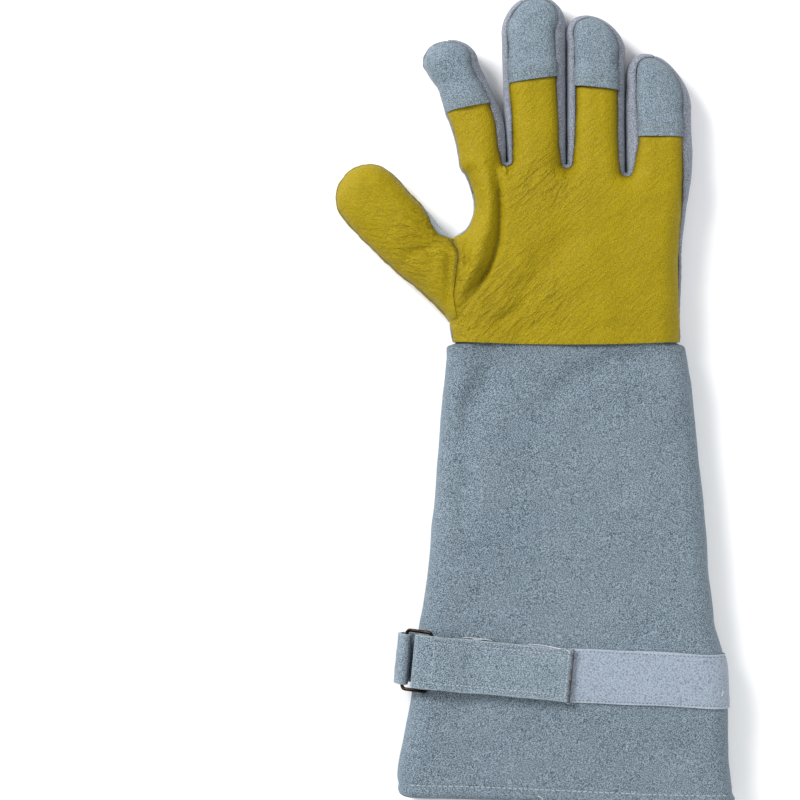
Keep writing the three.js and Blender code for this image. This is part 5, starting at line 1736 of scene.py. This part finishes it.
# %% Grey suede
def grey_suede(name, dark, light, seam=0.5, pale=(0.34, 0.40, 0.44, 1)):
    material, tree, shader, where = surface(name)
    out = use(tree, nap, {"Vector": where, "Speckle per m": 2300.0})
    colour = blend_colour(tree, out["Speckle"], dark, light)
    lift = maths(tree, "MULTIPLY", out["Cloud"], 0.12)
    colour = blend_colour(tree, lift, colour, pale)
    worn = painted(tree, "edge")
    colour = blend_colour(tree, maths(tree, "MULTIPLY", worn, 0.3), colour, (0.42, 0.46, 0.48, 1))
    # Near-black brown at a cut end: its brown core, with painted shade of the end wall.
    raw = painted(tree, "raw")
    colour = blend_colour(tree, raw, colour, (0.022, 0.012, 0.012, 1))
    mask = use(tree, shade, {"Vector": where, "Amount": seam})["Mask"]
    colour = blend_colour(tree, mask, colour, (0.03, 0.035, 0.04, 1))
    tree.links.new(colour, shader.inputs["Base Color"])
    shader.inputs["Roughness"].default_value = 0.96
    shader.inputs["Specular IOR Level"].default_value = 0.18
    shader.inputs["Sheen Weight"].default_value = 0.25
    shader.inputs["Sheen Roughness"].default_value = 0.45
    shader.inputs["Sheen Tint"].default_value = (0.75, 0.85, 0.95, 1)
    tree.links.new(bump(tree, out["Height"], 0.0006, 0.75), shader.inputs["Normal"])
    return material


# %% Loop pile, wire and thread
def loop_pile():
    material, tree, shader, where = surface("loop_pile")
    loops = add(
        tree, "ShaderNodeTexVoronoi", {"Vector": where, "Scale": 1150.0, "Randomness": 1.0},
    )
    curls = noise(tree, where, 2400.0, 3.0, 0.7, 1.5)
    drift = spread(tree, noise(tree, where, 150.0, 4.0, 0.6), 0.35, 0.65)
    height = maths(tree, "MULTIPLY_ADD", loops.outputs["Distance"], -0.8, maths(tree, "MULTIPLY", curls, 0.7))
    share = spread(tree, height, -0.4, 0.3)
    colour = blend_colour(tree, share, (0.15, 0.185, 0.235, 1), (0.425, 0.495, 0.585, 1))
    colour = blend_colour(tree, maths(tree, "MULTIPLY", drift, 0.2), colour, (0.35, 0.41, 0.49, 1))
    edge = painted(tree, "edge")
    colour = blend_colour(tree, maths(tree, "MULTIPLY", edge, 0.4), colour, (0.50, 0.56, 0.63, 1))
    tree.links.new(colour, shader.inputs["Base Color"])
    shader.inputs["Roughness"].default_value = 0.95
    shader.inputs["Sheen Weight"].default_value = 0.2
    shader.inputs["Sheen Roughness"].default_value = 0.4
    tree.links.new(bump(tree, height, 0.0008, 0.8), shader.inputs["Normal"])
    return material


def bronze_wire():
    material, tree, shader, where = surface("blackened_bronze")
    shader.inputs["Metallic"].default_value = 1.0
    worn = spread(tree, noise(tree, where, 500.0, 4.0, 0.7), 0.45, 0.62)
    colour = blend_colour(tree, worn, (0.010, 0.008, 0.006, 1), (0.045, 0.03, 0.02, 1))
    tree.links.new(colour, shader.inputs["Base Color"])
    rough = spread(tree, noise(tree, where, 1800.0, 3.0), 0.3, 0.7, 0.26, 0.5)
    tree.links.new(rough, shader.inputs["Roughness"])
    tree.links.new(bump(tree, noise(tree, where, 2200.0, 3.0), 0.00006, 0.5), shader.inputs["Normal"])
    return material


def thread(name, dark, light):
    material, tree, shader, where = surface(name)
    plies = noise(tree, where, 2600.0, 2.0, 0.6, 0.5)
    share = spread(tree, plies, 0.35, 0.65)
    tree.links.new(blend_colour(tree, share, dark, light), shader.inputs["Base Color"])
    shader.inputs["Roughness"].default_value = 0.7
    shader.inputs["Sheen Weight"].default_value = 0.3
    tree.links.new(bump(tree, plies, 0.00012, 0.6), shader.inputs["Normal"])
    return material


# %% Each piece gets its finish
def wear(piece, material):
    piece.data.materials.clear()
    piece.data.materials.append(material)


palm_yellow = yellow_leather("palm_leather", 0.75)
thumb_yellow = yellow_leather("thumb_leather", -0.15)
suede = grey_suede("grey_suede", (0.04, 0.06, 0.075, 1), (0.23, 0.29, 0.34, 1))
strap_suede = grey_suede("strap_suede", (0.055, 0.08, 0.10, 1), (0.27, 0.335, 0.385, 1), seam=0.35)
tip_suede = grey_suede("fingertip_suede", (0.06, 0.085, 0.105, 1), (0.225, 0.28, 0.325, 1), seam=0.4)
side_suede = grey_suede("finger_side_suede", (0.08, 0.088, 0.11, 1), (0.31, 0.33, 0.38, 1), seam=0.6)
web_suede = grey_suede("web_suede", (0.24, 0.28, 0.31, 1), (0.46, 0.52, 0.56, 1))
pile = loop_pile()
wire = bronze_wire()
tip_thread = thread("fingertip_thread", (0.13, 0.155, 0.11, 1), (0.30, 0.34, 0.25, 1))
pale_thread = thread("pale_thread", (0.24, 0.285, 0.31, 1), (0.44, 0.49, 0.52, 1))
dark_thread = thread("tape_thread", (0.035, 0.045, 0.06, 1), (0.10, 0.12, 0.145, 1))

wear(palm, palm_yellow)
for piece in thumb:
    wear(piece, thumb_yellow)
wear(gusset, web_suede)
for piece in (strap, keeper):
    wear(piece, strap_suede)
for piece in patches.values():
    wear(piece, tip_suede)
for piece in (back, *finger_sides_made):
    wear(piece, side_suede)
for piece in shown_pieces():
    if not piece.data.materials and not piece.name.startswith("stitches"):
        wear(piece, suede)
wear(loose, thread("frayed_thread", (0.42, 0.45, 0.47, 1), (0.68, 0.70, 0.72, 1)))
wear(tape, pile)
wear(ring, wire)
for key, material in (("tip", tip_thread), ("cuff", pale_thread), ("tape", dark_thread)):
    for row in filter(None, stitch_rows[key]):
        wear(row, material)
print("finishes:", [m.name for m in bpy.data.materials])

# %% [markdown]
# ## Floor, light and camera
# The glove lies on a pale floor under a large soft light from the upper left, with a weaker one
# opposite. The camera looks straight down from far above, through a long lens, so nothing leans.

# %% The floor
deselect()
bpy.ops.mesh.primitive_grid_add(x_subdivisions=24, y_subdivisions=24, size=6, location=(0, 0, 0))
floor = bpy.context.object
floor.name = "floor"
bpy.ops.object.mode_set(mode="EDIT")
bpy.ops.mesh.select_all(action="SELECT")
bpy.ops.transform.translate(value=(0, 0, -0.0002))
bpy.ops.object.mode_set(mode="OBJECT")
material, tree, shader, where = surface("pale_floor")
tint = blend_colour(tree, noise(tree, where, 6.0, 2.0), (0.93, 0.935, 0.94, 1), (0.95, 0.95, 0.95, 1))
tree.links.new(tint, shader.inputs["Base Color"])
shader.inputs["Roughness"].default_value = 0.9
wear(floor, material)
floor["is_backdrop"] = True


# %% Lights and world
def soft_light(name, place, power, size):
    deselect()
    bpy.ops.object.light_add(type="AREA", location=place)
    light = bpy.context.object
    light.name = name
    light.data.energy = power
    light.data.size = size
    light.rotation_euler = (-Vector(place)).to_track_quat("-Z", "Y").to_euler()


soft_light("window", (-1.28, 1.05, 1.22), 55, 0.9)
soft_light("fill", (1.3, -0.6, 1.5), 17, 1.4)
world = bpy.data.worlds.new("studio")
world.use_nodes = True
world.node_tree.nodes["Background"].inputs["Color"].default_value = (0.95, 0.97, 1, 1)
world.node_tree.nodes["Background"].inputs["Strength"].default_value = 0.6
bpy.context.scene.world = world
bpy.context.scene.view_settings.view_transform = "Standard"

# %% Camera
VIEW_WIDTH = 0.448
camera_height = 1.62
deselect()
bpy.ops.object.camera_add(location=(-0.0762, 0.0004, camera_height), rotation=(0, 0, 0))
camera = bpy.context.object
camera.data.sensor_width = 36
camera.data.lens = 36 * (camera_height - 0.02) / VIEW_WIDTH
bpy.context.scene.camera = camera
print("lens:", round(camera.data.lens, 1))

# %% Sizes and the end
low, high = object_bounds()
print("visual box in mm:", [round(v / MM, 1) for v in (*low, *high)])
